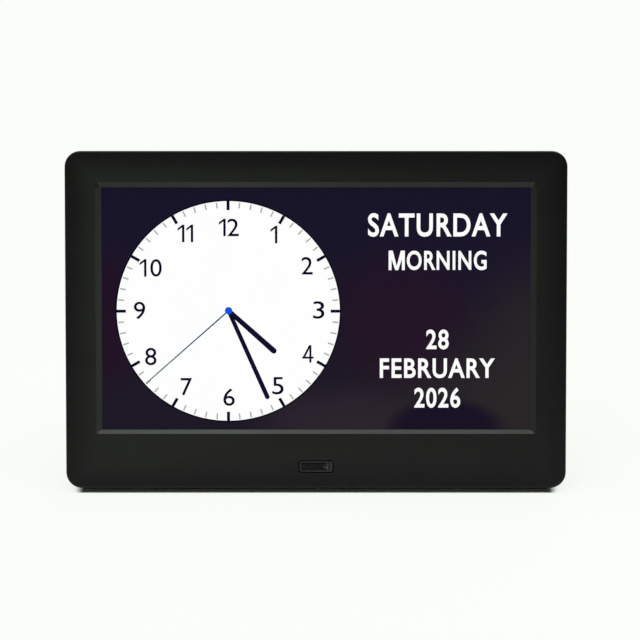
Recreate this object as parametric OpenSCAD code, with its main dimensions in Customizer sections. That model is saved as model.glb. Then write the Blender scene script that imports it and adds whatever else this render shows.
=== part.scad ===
// Day clock: a black bezel round a wide screen, a rear cover with buttons and sockets, and a
// hinged leg that lets it lean back on a table. The clock stands on the rear lower edge of
// its bezel and on the leg's foot. Sizes are in millimetres.

/* [Body] */
// Width of the clock's face
body_w = 208; // [196:1:230]
// Height of the clock's face
body_h = 140; // [132:1:160]
// Depth of the front bezel
bezel_d = 9; // [8.5:0.5:12]
// How far the rear cover stands out behind the bezel
cover_d = 12; // [11.5:0.5:16]
// Corner radius of the face
corner_r = 6.6; // [5.8:0.1:12]
// Wall of both shells
wall = 2.2; // [1.8:0.1:2.4]
// Thickness of the bezel's front plate
front_t = 2.4; // [2.1:0.1:3]
// Rounding of the bezel's front edge
front_edge_r = 1.2; // [0.4:0.1:1.8]
// Rounding of the rear cover's back edge
back_edge_r = 3; // [1:0.1:3.4]
// How far the rear cover's rim reaches into the bezel
nest_d = 1.5; // [1:0.1:2]

/* [Screen] */
// Bezel between the screen and each side edge
side_margin = 15.05; // [14:0.05:20]
// Bezel above the screen
top_margin = 15.1; // [14:0.1:20]
// Bezel below the screen
bottom_margin = 24.3; // [22:0.1:32]
// Width of the bevel round the screen
lip_w = 2.2; // [1:0.1:3.5]
// Depth of the bevel round the screen
lip_d = 1.8; // [0.8:0.1:2]
// Rounding of the bevel's outer corners
lip_r = 1.6; // [0.5:0.1:3]
// Panel frame beyond the screen at the top and at each side
panel_border = 4.1; // [3.6:0.1:4.6]
// Panel frame beyond the screen at the bottom
panel_border_low = 8; // [7:0.1:9]
// Width of the backlight frame's rail
rail_w = 3.4; // [3:0.1:3.6]
// Width of the frame's step that the glass lies on
glass_step = 1.5; // [1:0.1:1.9]
// Thickness of the screen glass
glass_t = 1.4; // [1:0.1:1.6]
// Thickness of the light guide
guide_t = 2.2; // [1.8:0.1:2.6]
// Thickness of the panel's steel tray
tray_t = 0.4; // [0.3:0.05:0.6]
// Thickness of the foam gasket in front of the glass
gasket_t = 0.5; // [0.3:0.1:0.8]

/* [Picture] */
// Radius of the round dial on the screen
dial_r = 46.2; // [40:0.2:48]
// Distance of the dial's centre left of the screen's centre
dial_left = 36.3; // [32:0.1:40]
// Length of an hour mark
hour_mark_l = 3.9; // [2:0.1:6]
// Hour shown by the hands
shown_hour = 4; // [0:1:11]
// Minute shown by the hands
shown_minute = 26; // [0:1:59]
// Second shown by the hands
shown_second = 38; // [0:1:59]

/* [Lean and leg] */
// Angle that the face leans back
lean = 12; // [9:0.5:16]
// Angle between the open leg and the clock's back
leg_open = 26; // [23:0.5:32]
// Height of the leg's hinge above the body's lower edge
hinge_h = 66; // [60:0.5:72]
// Width of the leg
leg_w = 36; // [30:1:44]
// Thickness of the leg
leg_t = 5; // [4.6:0.1:5.4]
// Skin and ribs of the leg
leg_skin = 2; // [1.6:0.1:2.4]
// Height of the leg's heel above the hinge
heel_h = 6; // [5:0.1:7]
// Radius of the hinge pin
pin_r = 1.5; // [1:0.1:1.8]
// Thickness of the leg's rubber pad
pad_t = 1.6; // [1:0.1:2.4]

/* [Buttons] */
// Distance of the button row below the body's upper edge
button_drop = 24; // [22:0.5:30]
// Distance between two buttons
button_pitch = 12; // [10:0.5:13]
// Radius of a button cap
cap_r = 3; // [2.5:0.1:3.5]
// How far a button cap stands out
cap_proud = 0.8; // [0.5:0.1:1.2]
// Travel of a button
button_travel = 0.4; // [0.2:0.05:0.5]
// Side of a switch housing
switch_w = 6; // [5:0.1:6.4]
// Height of a switch housing
switch_h = 3.5; // [3:0.1:3.8]

/* [Rear features] */
// Distance of the wall hooks' holes from the middle
hook_x = 75; // [64:0.5:80]
// Radius of the round part of a hook hole
hook_r = 4.2; // [3.6:0.1:4.8]
// Half width of the narrow part of a hook hole
hook_slot_r = 2.1; // [1.6:0.1:2.4]
// Length of the narrow part of a hook hole
hook_rise = 8; // [6:0.5:9]
// Distance of the speaker's centre from the body's right edge
speaker_in = 46; // [40:0.5:54]
// Speaker's height above the body's lower edge
speaker_y = 44; // [38:0.5:56]
// Radius of the speaker
speaker_r = 14; // [12:0.5:16]
// Radius of a hole in the speaker grille
grille_r = 1; // [0.6:0.1:1.2]
// Distance of the vents from the middle
vent_x = 54; // [46:0.5:60]
// Length of a vent slot
vent_l = 22; // [16:0.5:26]
// Width of a vent slot
vent_w = 1.6; // [1:0.1:2]
// Distance between two vent slots
vent_pitch = 4; // [3:0.1:5]

/* [Boards] */
// Width of the main board
board_w = 72; // [66:1:76]
// Height of the main board
board_h = 68; // [62:1:72]
// Thickness of the main board and the key board
board_t = 1.6; // [1:0.1:1.8]
// Gap between the panel's tray and the main board
board_gap = 2; // [1.8:0.1:2.4]
// Height of the key board
key_board_h = 12; // [10:0.5:14]

/* [Infrared window] */
// Height of the window's centre above the body's lower edge
ir_y = 9; // [8.6:0.1:9.6]
// Width of the window's recess
ir_w = 14.8; // [12:0.1:17]
// Height of the window's recess
ir_h = 5.4; // [4.4:0.1:6]
// How far the window lies behind the face
ir_sink = 0.5; // [0.2:0.1:0.8]

/* [Fasteners] */
// Radius of a case screw's boss
boss_r = 3; // [2.6:0.1:3.1]
// Radius of a screw's shank
shank_r = 1.1; // [0.8:0.05:1.3]
// Radius of a screw's head
head_r = 2; // [1.7:0.1:2.2]
// Height of a screw's head
head_h = 1.3; // [1:0.1:1.5]

/* [Clearances] */
// Gap round the rear cover's rim, the buttons and the sockets
fit_gap = 0.3; // [0.2:0.05:0.4]
// Gap round a screw's shank in its hole
screw_gap = 0.05; // [0.03:0.01:0.1]
// Running gap round the hinge pin in the leg
pin_gap = 0.05; // [0.03:0.01:0.08]

/* [Hidden] */
$fn = 48;
past = 1;
button_names = ["power", "menu", "left", "up", "down", "right", "exit"];

// Body
total_d = bezel_d + cover_d;
cover_inset = wall + fit_gap;
cover_w = body_w - 2 * cover_inset;
cover_h = body_h - 2 * cover_inset;
cover_r = corner_r - cover_inset;
inner_x = cover_w / 2 - wall;
inner_low = cover_inset + wall;
inner_high = body_h - inner_low;
plate_d = total_d - wall;
post_r = boss_r + 0.6;
boss_x = inner_x - boss_r - 0.4;
boss_low = inner_low + boss_r + 0.4;
boss_high = inner_high - boss_r - 0.4;
boss_mid_x = boss_x / 2;
boss_places = [[-boss_x, boss_low], [boss_x, boss_low], [-boss_x, boss_high],
    [boss_x, boss_high], [-boss_mid_x, boss_low], [boss_mid_x, boss_low]];
screw_seat_d = bezel_d + wall;
screw_l = screw_seat_d - front_t - 0.8;
sink_r = head_r + 0.6;

// Screen and panel
screen_w = body_w - 2 * side_margin;
screen_h = body_h - top_margin - bottom_margin;
screen_y = bottom_margin + screen_h / 2;
panel_w = screen_w + 2 * panel_border;
panel_low = bottom_margin - panel_border_low;
panel_high = bottom_margin + screen_h + panel_border;
panel_h = panel_high - panel_low;
panel_y = (panel_high + panel_low) / 2;
glass_d = front_t + gasket_t;
sheet_d = glass_d + glass_t;
diffuser_t = 0.3;
reflector_t = 0.2;
guide_d = sheet_d + diffuser_t;
reflector_d = guide_d + guide_t;
tray_d = reflector_d + reflector_t;
tray_back_d = tray_d + tray_t;
tray_lip_d = sheet_d - 0.3;
glass_w = panel_w - 2 * (rail_w - glass_step);
glass_h = panel_h - 2 * (rail_w - glass_step);
sheet_w = panel_w - 2 * rail_w;
sheet_h = panel_h - 2 * rail_w;
led_l = 3;
led_h = 1.2;
led_pitch = 9.6;
led_count = floor((sheet_w - 2 * led_l) / led_pitch);
strip_t = 0.3;
light_gap = 0.1;
led_room = strip_t + led_h + light_gap;
picture_t = 0.1;
hour_mark_w = 1.2;
hand_w = 1.9;
second_hand_w = 0.6;
hub_r = 1.6;
gasket_w = 3;
gasket_in = 1;

// Panel clips
clip_t = 0.8;
clip_h = 9;
clip_x = panel_w / 2 + tray_t + 2.9;
clip_boss_r = 2.1;
clip_reach = 5;
clip_out = inner_x - clip_x - 0.4;
clip_spread = 0.4;
clip_ys = [panel_y - clip_spread * panel_h, panel_y + clip_spread * panel_h];

// Main board
board_d = tray_back_d + board_gap;
board_back_d = board_d + board_t;
button_y = body_h - button_drop;
board_left = -inner_x + 1;
board_right = board_left + board_w;
board_clear = 4;
board_top = button_y - key_board_h / 2 - board_clear;
board_low = board_top - board_h;
board_post_r = 2.6;
board_screw_bite = 4.5;
socket_mouth = -cover_w / 2 + 0.4;
board_edge = 4;
card_up = 13.6;
card_y = board_low + card_up;
card_l = 25;
board_holes = [[socket_mouth + card_l + board_post_r + 1.2, board_low + board_edge],
    [board_right - board_edge, board_low + board_edge],
    [board_left + board_edge, board_top - board_edge],
    [board_right - board_edge, board_top - board_edge]];
dc_up = 51;
usb_up = 34.6;
dc_y = board_low + dc_up;
usb_y = board_low + usb_up;
dc_w = 9;
dc_h = 7;
dc_l = 13;
dc_bore_r = 2.75;
dc_pin_r = 1;
dc_centre_d = board_back_d + dc_h / 2;
usb_w = 13.1;
usb_h = 5.7;
usb_l = 14;
card_w = 26;
card_h = 3.2;
shell_t = 0.4;
tongue_edges = 2;
usb_tongue_low = 3.2;
usb_tongue_high = 5;
usb_mouth = 4;
card_contact_high = 1.2;
card_contact_l = 4;
cell_r = 10;
cell_t = 3.2;
cell_in = 14;
cell_up = 26;
cell_x = board_right - cell_in;
cell_y = board_low + cell_up;
holder_r = cell_r + 1.4;
holder_floor = 1;

// Vents and label
vent_count = 5;
vent_drop = 22;
vent_high = button_y - vent_drop;
label_w = 48;
label_h = 22;
label_r = 2;
label_sink = 0.3;
label_x = 58;
label_up = 22;
label_y = inner_low + label_up;

// Key board, switches and buttons
button_count = len(button_names);
cap_flange_t = 0.9;
cap_flange_r = cap_r + 0.9;
cap_flange_d = plate_d - fit_gap - cap_flange_t;
plunger_r = 1.7;
plunger_l = 1.7;
plunger_gap = 0.2;
switch_top_d = cap_flange_d - button_travel - 0.6;
switch_d = switch_top_d - switch_h;
key_board_d = switch_d - board_t;
key_post_r = 2.4;
key_screw_bite = 3.5;
key_post_x = (button_count - 1) / 2 * button_pitch + switch_w / 2 + key_post_r + 1.2;
key_board_w = 2 * (key_post_x + key_post_r + 1);
key_hole_y = button_y;

// Infrared receiver
ir_board_t = 1;
ir_board_w = 28;
ir_board_low = inner_low + 0.3;
ir_board_high = panel_low - tray_t - 1.6;
ir_board_d = bezel_d - ir_board_t;
ir_screw_x = 10.5;
ir_screw_l = 5;
ir_boss_r = 2.2;
ir_flange_t = 1;
ir_flange_edge = 1.4;
ir_pane_w = 11.5;
ir_pane_h = 3.2;

// Speaker
speaker_x = body_w / 2 - speaker_in;
speaker_rim_t = 1.4;
speaker_basket_t = 2;
magnet_edge = 0.5;
magnet_r = speaker_r / 2 + magnet_edge;
magnet_t = 3.2;
speaker_rim_d = plate_d - speaker_rim_t;
magnet_d = speaker_rim_d - speaker_basket_t - magnet_t;
speaker_ring_t = 1.5;
basket_edge = 1.2;
basket_wall_t = 0.6;
basket_lap = 0.4;

// Leg. Its hinge is in a pocket of the rear cover, and its open stop is the heel on the
// pocket's floor.
leg_turn = leg_open - lean;
pocket_w = leg_w + 2 * fit_gap + 0.2;
hinge_r = leg_t * 0.6;
hinge_d = total_d - hinge_r;
pocket_floor_d = hinge_d - hinge_r - 0.4;
pocket_skin = 1.6;
leg_back = hinge_r;
leg_front = hinge_r - leg_t;
heel_gap = 0.2;
heel_front = (heel_h * sin(leg_open) - (hinge_d - pocket_floor_d) + heel_gap) / cos(leg_open);
heel_reach = sqrt(heel_h * heel_h + leg_back * leg_back);
pocket_high = hinge_h + heel_reach + 0.4;
pin_l = pocket_w + 2 * wall;
pin_seat_gap = 0.02;

// The leaning pose. rise lifts the lowest edge of the body to the table.
rise = max(bezel_d * sin(lean),
    (total_d - back_edge_r) * sin(lean) - (cover_inset + back_edge_r) * cos(lean) + back_edge_r);
pivot_y = hinge_d * cos(lean) + hinge_h * sin(lean);
pivot_z = hinge_h * cos(lean) - hinge_d * sin(lean) + rise;
leg_l = (pivot_z + leg_back * sin(leg_turn)) / cos(leg_turn);
most_front = front_edge_r * (cos(lean) + sin(lean) - 1);
cover_back = (total_d - back_edge_r) * cos(lean)
    + (body_h - cover_inset - back_edge_r) * sin(lean) + back_edge_r;
foot_back = pivot_y + leg_back * cos(leg_turn) + leg_l * sin(leg_turn);
middle_y = (most_front + max(cover_back, foot_back)) / 2;

// Pieces are drawn flat: X to the right, Y up the face and Z towards the viewer, with the
// face at 0 and every depth behind it. lean_back stands them up in the leaning pose.
module lean_back()
    translate([0, -middle_y, rise]) rotate([90 - lean, 0, 0]) children();

// The leg's own frame: its hinge axis is X, Z runs up the leg and Y points to its back face
module at_leg()
    translate([0, pivot_y - middle_y, pivot_z]) rotate([leg_turn, 0, 0]) children();

// A 2D shape as a plate between two depths
module plate(from_d, to_d)
    translate([0, 0, -to_d]) linear_extrude(to_d - from_d) children();

module rod(x, y, from_d, to_d, r)
    translate([x, y, -to_d]) cylinder(h = to_d - from_d, r = r);

module block(from_x, to_x, from_y, to_y, from_d, to_d)
    translate([from_x, from_y, -to_d]) cube([to_x - from_x, to_y - from_y, to_d - from_d]);

module rect(w, h, y) translate([-w / 2, y - h / 2]) square([w, h]);

module round_rect(w, h, r, y) {
    rect(w, h - 2 * r, y);
    rect(w - 2 * r, h, y);
    for (side = [-1, 1], end = [-1, 1])
        translate([side * (w / 2 - r), y + end * (h / 2 - r)]) circle(r);
}

// Section of a shell's wall and the plate it turns into, rounded at the outer edge
module shell_section(thick, plate_t, depth, edge_r) {
    difference() {
        union() {
            translate([0, -depth]) square([thick, depth]);
            translate([0, -plate_t]) square([max(thick, edge_r), plate_t]);
        }
        difference() {
            translate([-past, -edge_r]) square([past + edge_r, edge_r + past]);
            translate([edge_r, -edge_r]) circle(edge_r);
            translate([edge_r, -edge_r]) square(edge_r + 2 * past);
        }
    }
}

// A dish with its closed face at 0 and its wall going down: the section runs round a
// rectangle with round corners, and a flat plate fills the middle
module dish(w, h, r, thick, plate_t, depth, edge_r) {
    band = max(thick, edge_r);
    for (turn = [0:3]) {
        half = (turn % 2 == 0 ? w : h) / 2;
        run = (turn % 2 == 0 ? h : w) - 2 * r;
        rotate([0, 0, 90 * turn]) {
            translate([-half, run / 2, 0]) rotate([90, 0, 0]) linear_extrude(run)
                shell_section(thick, plate_t, depth, edge_r);
            translate([r - half, run / 2, 0]) rotate([0, 0, 90]) rotate_extrude(angle = 90)
                translate([r, 0]) mirror([1, 0])
                    shell_section(thick, plate_t, depth, edge_r);
        }
    }
    plate(0, plate_t) round_rect(w - 2 * band, h - 2 * band, r - band, 0);
}

// Screw whose head lies behind the seat depth, with its shank pointing to the face
module screw_to_front(x, y, seat_d, l) {
    rod(x, y, seat_d, seat_d + head_h, head_r);
    rod(x, y, seat_d - l, seat_d, shank_r);
}

// Screw whose head lies before the seat depth, with its shank pointing to the back
module screw_to_back(x, y, seat_d, l) {
    rod(x, y, seat_d - head_h, seat_d, head_r);
    rod(x, y, seat_d, seat_d + l, shank_r);
}

function unit(v) = v / norm(v);

// Direction of a path at one of its points, halfway between the runs that meet there
function heading(points, i) =
    i == 0 ? unit(points[1] - points[0]) :
    i == len(points) - 1 ? unit(points[i] - points[i - 1]) :
    unit(unit(points[i] - points[i - 1]) + unit(points[i + 1] - points[i]));

// A wire through a list of [x, y, depth] points, none of whose runs is square to the face
module wire(path, r) {
    sides = 8;
    points = [for (p = path) [p.x, p.y, -p.z]];
    last = len(points) - 1;
    rings = [for (i = [0:last]) let (ahead = heading(points, i),
            side = unit(cross(ahead, [0, 0, 1])), up = cross(side, ahead))
        for (k = [0:sides - 1])
            points[i] + r * (cos(360 / sides * k) * side + sin(360 / sides * k) * up)];
    skin = [for (i = [0:last - 1], k = [0:sides - 1]) let (here = i * sides,
            next = (k + 1) % sides)
        each [[here + k, here + next, here + sides + next],
            [here + k, here + sides + next, here + sides + k]]];
    polyhedron(rings, concat([[for (k = [sides - 1:-1:0]) k]], skin,
        [[for (k = [0:sides - 1]) last * sides + k]]));
}

module front_bezel() {
    color([0.13, 0.135, 0.13]) difference() {
        union() {
            translate([0, body_h / 2, 0])
                dish(body_w, body_h, corner_r, wall, front_t, bezel_d, front_edge_r);
            for (at = boss_places) rod(at.x, at.y, front_t, bezel_d, boss_r);
            for (side = [-1, 1], y = clip_ys)
                rod(side * clip_x, y, front_t, tray_back_d, clip_boss_r);
            for (side = [-1, 1])
                rod(side * ir_screw_x, ir_y, front_t, ir_board_d, ir_boss_r);
        }
        plate(-past, front_t + past) rect(screen_w, screen_h, screen_y);
        screen_bevel();
        for (at = boss_places)
            rod(at.x, at.y, front_t + 0.4, bezel_d + past, shank_r + screw_gap);
        for (side = [-1, 1], y = clip_ys)
            rod(side * clip_x, y, front_t, tray_back_d + past, shank_r + screw_gap);
        for (side = [-1, 1])
            rod(side * ir_screw_x, ir_y, front_t, ir_board_d + past, shank_r + screw_gap);
        plate(-past, front_t + past) round_rect(ir_w, ir_h, ir_h / 4, ir_y);
    }
}

// The sloping cut from the face down to the screen's edge
module screen_bevel() {
    hull() {
        plate(-past, 0) round_rect(screen_w + 2 * lip_w, screen_h + 2 * lip_w, lip_r, screen_y, $fn = 32);
        plate(0, lip_d) rect(screen_w, screen_h, screen_y);
    }
}

module ir_window() {
    color([0.07, 0.065, 0.07]) {
        plate(ir_sink, front_t) round_rect(ir_w - 2 * fit_gap, ir_h - 2 * fit_gap, ir_h / 5, ir_y);
        plate(ir_sink / 2, ir_sink) round_rect(ir_pane_w, ir_pane_h, 0.4, ir_y);
        plate(front_t, front_t + ir_flange_t)
            rect(min(ir_w + 2 * ir_flange_edge, 2 * (ir_screw_x - ir_boss_r - 0.2)),
                ir_h + 2 * ir_flange_edge, ir_y);
    }
}

module hook_hole(side) {
    rod(side * hook_x, button_y, plate_d - past, total_d + past, hook_r);
    plate(plate_d - past, total_d + past) translate([side * hook_x - hook_slot_r, button_y])
        square([2 * hook_slot_r, hook_rise]);
    rod(side * hook_x, button_y + hook_rise, plate_d - past, total_d + past, hook_slot_r);
}

module vents(x) {
    for (i = [0:vent_count - 1]) plate(plate_d - past, total_d + past)
        translate([x - vent_l / 2, vent_high - i * vent_pitch - vent_w]) square([vent_l, vent_w]);
}

// Shallow bare recess where such a clock has its rating label
module label_recess()
    plate(total_d - label_sink, total_d + past) translate([-label_x, 0])
        round_rect(label_w, label_h, label_r, label_y);

module speaker_grille() {
    for (ring = [0:3]) for (i = [0:max(1, 6 * ring) - 1]) {
        a = 360 / max(1, 6 * ring) * i;
        r = ring * speaker_r / 4.6;
        rod(speaker_x + r * cos(a), speaker_y + r * sin(a), plate_d - past, total_d + past, grille_r);
    }
}

// The leg's pocket in the rear cover: its room, and the walls round that room
module pocket_room()
    block(-pocket_w / 2, pocket_w / 2, -past, pocket_high, pocket_floor_d, total_d + past);

module pocket_walls()
    block(-pocket_w / 2 - wall, pocket_w / 2 + wall, cover_inset + wall / 2, pocket_high + wall,
        pocket_floor_d - pocket_skin, plate_d);

module rear_cover() {
    color([0.12, 0.12, 0.12]) difference() {
        union() {
            translate([0, body_h / 2, -total_d]) rotate([0, 180, 0])
                dish(cover_w, cover_h, cover_r, wall, wall, cover_d + nest_d, back_edge_r);
            intersection() {
                for (at = boss_places) rod(at.x, at.y, bezel_d, plate_d, post_r);
                block(-cover_w / 2 + wall / 2, cover_w / 2 - wall / 2, cover_inset + wall / 2,
                    body_h - cover_inset - wall / 2, 0, total_d);
            }
            for (at = board_holes) rod(at.x, at.y, board_back_d, plate_d, board_post_r);
            for (side = [-1, 1])
                rod(side * key_post_x, key_hole_y, key_board_d + board_t, plate_d, key_post_r);
            rod(speaker_x, speaker_y, speaker_rim_d - 0.6, plate_d,
                speaker_r + fit_gap + speaker_ring_t);
            pocket_walls();
        }
        for (at = boss_places) {
            rod(at.x, at.y, bezel_d - past, total_d + past, shank_r + 0.3);
            rod(at.x, at.y, screw_seat_d, total_d + past, sink_r);
        }
        for (at = board_holes)
            rod(at.x, at.y, board_back_d - past, plate_d, shank_r + screw_gap);
        for (side = [-1, 1])
            rod(side * key_post_x, key_hole_y, key_board_d, plate_d, shank_r + screw_gap);
        rod(speaker_x, speaker_y, speaker_rim_d - past, plate_d, speaker_r + fit_gap);
        speaker_grille();
        pocket_room();
        translate([-pin_l / 2 - past, hinge_h, -hinge_d]) rotate([0, 90, 0])
            cylinder(h = pin_l + 2 * past, r = pin_r + pin_seat_gap);
        for (i = [0:button_count - 1])
            rod(button_x(i), button_y, plate_d - past, total_d + past, cap_r + fit_gap);
        for (side = [-1, 1]) hook_hole(side);
        for (side = [-1, 1]) vents(side * vent_x);
        label_recess();
        translate([-cover_w / 2 - past, dc_y, -dc_centre_d]) rotate([0, 90, 0])
            cylinder(h = wall + 2 * past, r = dc_h / 2 + fit_gap);
        block(-cover_w / 2 - past, -inner_x + past, usb_y - usb_w / 2 - fit_gap,
            usb_y + usb_w / 2 + fit_gap, board_back_d - fit_gap, board_back_d + usb_h + fit_gap);
        block(-cover_w / 2 - past, -inner_x + past, card_y - card_w / 2 - fit_gap,
            card_y + card_w / 2 + fit_gap, board_back_d - fit_gap, board_back_d + card_h + fit_gap);
    }
}

module case_screws()
    color([0.55, 0.56, 0.58]) for (at = boss_places) screw_to_front(at.x, at.y, screw_seat_d, screw_l);

module lcd_gasket() {
    color([0.1, 0.1, 0.1]) plate(front_t, glass_d) difference() {
        rect(screen_w + 2 * gasket_w, screen_h + 2 * gasket_w, screen_y);
        rect(screen_w + 2 * gasket_in, screen_h + 2 * gasket_in, screen_y);
    }
}

module lcd_glass()
    color([0.1, 0.075, 0.16]) plate(glass_d, sheet_d) rect(glass_w, glass_h, panel_y);

module picture_dial()
    color([0.98, 0.99, 0.98]) rod(-dial_left, screen_y, glass_d - picture_t, glass_d, dial_r);

// A mark or hand on the dial: a bar at an angle clockwise from 12, between two radii
module dial_bar(angle, from_r, to_r, w) {
    translate([-dial_left, screen_y]) rotate(-angle)
        translate([-w / 2, from_r]) square([w, to_r - from_r]);
}

module picture_hands() {
    color([0.1, 0.08, 0.26]) plate(glass_d - 2 * picture_t, glass_d - picture_t) {
        for (hour = [0:11]) dial_bar(hour * 30, dial_r - hour_mark_l, dial_r, hour_mark_w);
        dial_bar(shown_hour * 30 + shown_minute / 2, 0, dial_r * 0.56, hand_w);
        dial_bar(shown_minute * 6 + shown_second / 10, 0, dial_r * 0.86, hand_w);
        dial_bar(shown_second * 6, 0, dial_r * 0.97, second_hand_w);
        translate([-dial_left, screen_y]) circle(hub_r);
    }
}

module diffuser_sheet()
    color([0.95, 0.95, 0.93]) plate(sheet_d, guide_d) rect(sheet_w, sheet_h, panel_y);

module light_guide() {
    color([0.8, 0.9, 0.92]) plate(guide_d, reflector_d)
        rect(sheet_w, sheet_h - led_room, panel_y + led_room / 2);
}

module reflector_sheet()
    color([0.97, 0.97, 0.97]) plate(reflector_d, tray_d) rect(sheet_w, sheet_h, panel_y);

module led_strip() {
    floor_y = panel_y - sheet_h / 2;
    color([0.85, 0.8, 0.55]) {
        block(-sheet_w / 2, sheet_w / 2, floor_y, floor_y + strip_t, guide_d, reflector_d);
        for (i = [0:led_count - 1]) {
            x = (i - (led_count - 1) / 2) * led_pitch;
            block(x - led_l / 2, x + led_l / 2, floor_y + strip_t, floor_y + strip_t + led_h,
                guide_d + 0.2, reflector_d - 0.2);
        }
    }
}

flex_in = 25;
flex_x = board_right - flex_in;
flex_w = 34;
flex_t = 0.25;
flex_front_d = glass_d + 0.3;
flex_back_d = tray_back_d + 1.8 * flex_t;
flex_turn_r = (flex_back_d + flex_t - flex_front_d) / 2;
flex_turn_y = panel_low - tray_t - 0.1;
flex_socket_up = 8;
flex_socket_y = board_low + flex_socket_up;
flex_socket_h = 4;

module backlight_frame() {
    color([0.9, 0.9, 0.88]) difference() {
        plate(glass_d, tray_d) rect(panel_w, panel_h, panel_y);
        plate(glass_d - past, sheet_d) rect(glass_w, glass_h, panel_y);
        plate(glass_d, tray_d + past) rect(sheet_w, sheet_h, panel_y);
        block(flex_x - flex_w / 2 - fit_gap, flex_x + flex_w / 2 + fit_gap, panel_low - past,
            panel_y - glass_h / 2 + past, glass_d - past, flex_front_d + flex_t + 0.1);
    }
}

module lcd_rear_tray() {
    color([0.72, 0.73, 0.75]) difference() {
        plate(tray_lip_d, tray_back_d) rect(panel_w + 2 * tray_t, panel_h + 2 * tray_t, panel_y);
        plate(tray_lip_d - past, tray_d) rect(panel_w, panel_h, panel_y);
    }
}

module lcd_clips() {
    color([0.66, 0.67, 0.69]) for (side = [-1, 1], y = clip_ys) difference() {
        block(min(side * (clip_x + clip_out), side * (panel_w / 2 - clip_reach)),
            max(side * (clip_x + clip_out), side * (panel_w / 2 - clip_reach)),
            y - clip_h / 2, y + clip_h / 2, tray_back_d, tray_back_d + clip_t);
        rod(side * clip_x, y, tray_back_d - past, tray_back_d + clip_t + past, shank_r + 0.2);
    }
}

module lcd_clip_screws() {
    seat_d = tray_back_d + clip_t;
    color([0.55, 0.56, 0.58]) for (side = [-1, 1], y = clip_ys)
        screw_to_front(side * clip_x, y, seat_d, seat_d - front_t - 0.5);
}

module lcd_flex() {
    color([0.78, 0.52, 0.2]) translate([flex_x - flex_w / 2, 0, 0])
        rotate([90, 0, 90]) linear_extrude(flex_w) {
            translate([flex_turn_y, -flex_front_d - flex_t])
                square([panel_y - glass_h / 2 - flex_turn_y, flex_t]);
            translate([flex_turn_y, -flex_back_d - flex_t])
                square([flex_socket_y - flex_turn_y, flex_t]);
            intersection() {
                translate([flex_turn_y, -flex_front_d - flex_turn_r]) difference() {
                    circle(flex_turn_r);
                    circle(flex_turn_r - flex_t);
                }
                translate([flex_turn_y - 2 * flex_turn_r, -flex_front_d - 3 * flex_turn_r])
                    square([2 * flex_turn_r, 4 * flex_turn_r]);
            }
        }
}

module main_board() {
    color([0.07, 0.33, 0.2]) difference() {
        block(board_left, board_right, board_low, board_top, board_d, board_back_d);
        for (at = board_holes)
            rod(at.x, at.y, board_d - past, board_back_d + past, shank_r + 0.2);
    }
}

// A chip is [x, y, width, height, thickness] from the board's left lower corner
chips = [[34, 46, 14, 14, 1.2], [52, 53, 10, 8, 1.1], [38, 30, 8, 6, 1], [51, 43, 6, 5, 1],
    [24, 58, 5, 4, 1.5], [62, 58, 4, 3, 1], [32, 20, 5, 4, 1.4]];

module board_chips() {
    color([0.1, 0.1, 0.11]) for (c = chips)
        block(board_left + c[0] - c[2] / 2, board_left + c[0] + c[2] / 2, board_low + c[1] - c[3] / 2,
            board_low + c[1] + c[3] / 2, board_back_d, board_back_d + c[4]);
}

// Capacitors stand at these places on the board, from its left lower corner
capacitor_places = [[19, 50], [20, 40], [15, 58]];
capacitor_r = 3.15;
capacitor_h = 5.8;

module capacitors() {
    color([0.75, 0.76, 0.78]) for (at = capacitor_places)
        rod(board_left + at.x, board_low + at.y, board_back_d, board_back_d + capacitor_h, capacitor_r);
}

// Sockets of the flex and the wires
socket_w = 7;
socket_h = 5;
socket_t = 2;
socket_edge = 1;
speaker_socket_up = 12;
ir_socket_in = 8;
key_socket_in = 18;
speaker_socket_y = board_low + speaker_socket_up;
ir_socket_x = board_right - ir_socket_in;
key_socket_x = board_right - key_socket_in;
cable_w = 10;
cable_t = 0.3;
cable_d = board_back_d + 1.1;

module wire_sockets() {
    color([0.93, 0.92, 0.86]) {
        block(flex_x - flex_w / 2 - socket_edge, flex_x + flex_w / 2 + socket_edge, flex_socket_y,
            flex_socket_y + flex_socket_h, flex_back_d - flex_t, board_d);
        block(board_right - socket_h - socket_edge, board_right - socket_edge,
            speaker_socket_y - socket_w / 2, speaker_socket_y + socket_w / 2, board_back_d,
            board_back_d + socket_t);
        block(ir_socket_x - board_edge - socket_w, ir_socket_x - board_edge,
            board_low + socket_edge, board_low + socket_edge + socket_h, board_back_d,
            board_back_d + socket_t);
        block(key_socket_x - cable_w / 2 - socket_edge, key_socket_x + cable_w / 2 + socket_edge,
            board_top - socket_edge - socket_h, board_top - socket_edge, board_back_d,
            board_back_d + socket_t);
    }
}

module board_screws() {
    color([0.55, 0.56, 0.58]) for (at = board_holes)
        screw_to_back(at.x, at.y, board_d, board_t + board_screw_bite);
}

module dc_jack() {
    color([0.09, 0.09, 0.09]) {
        difference() {
            union() {
                block(-inner_x + fit_gap, socket_mouth + dc_l, dc_y - dc_w / 2, dc_y + dc_w / 2,
                    board_back_d, board_back_d + dc_h);
                translate([socket_mouth, dc_y, -dc_centre_d]) rotate([0, 90, 0])
                    cylinder(h = dc_l - 1, r = dc_h / 2);
            }
            translate([socket_mouth - past, dc_y, -dc_centre_d]) rotate([0, 90, 0])
                cylinder(h = dc_l - 2 + past, r = dc_bore_r);
        }
        translate([socket_mouth + 1, dc_y, -dc_centre_d]) rotate([0, 90, 0])
            cylinder(h = dc_l - 3, r = dc_pin_r);
    }
}

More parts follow.
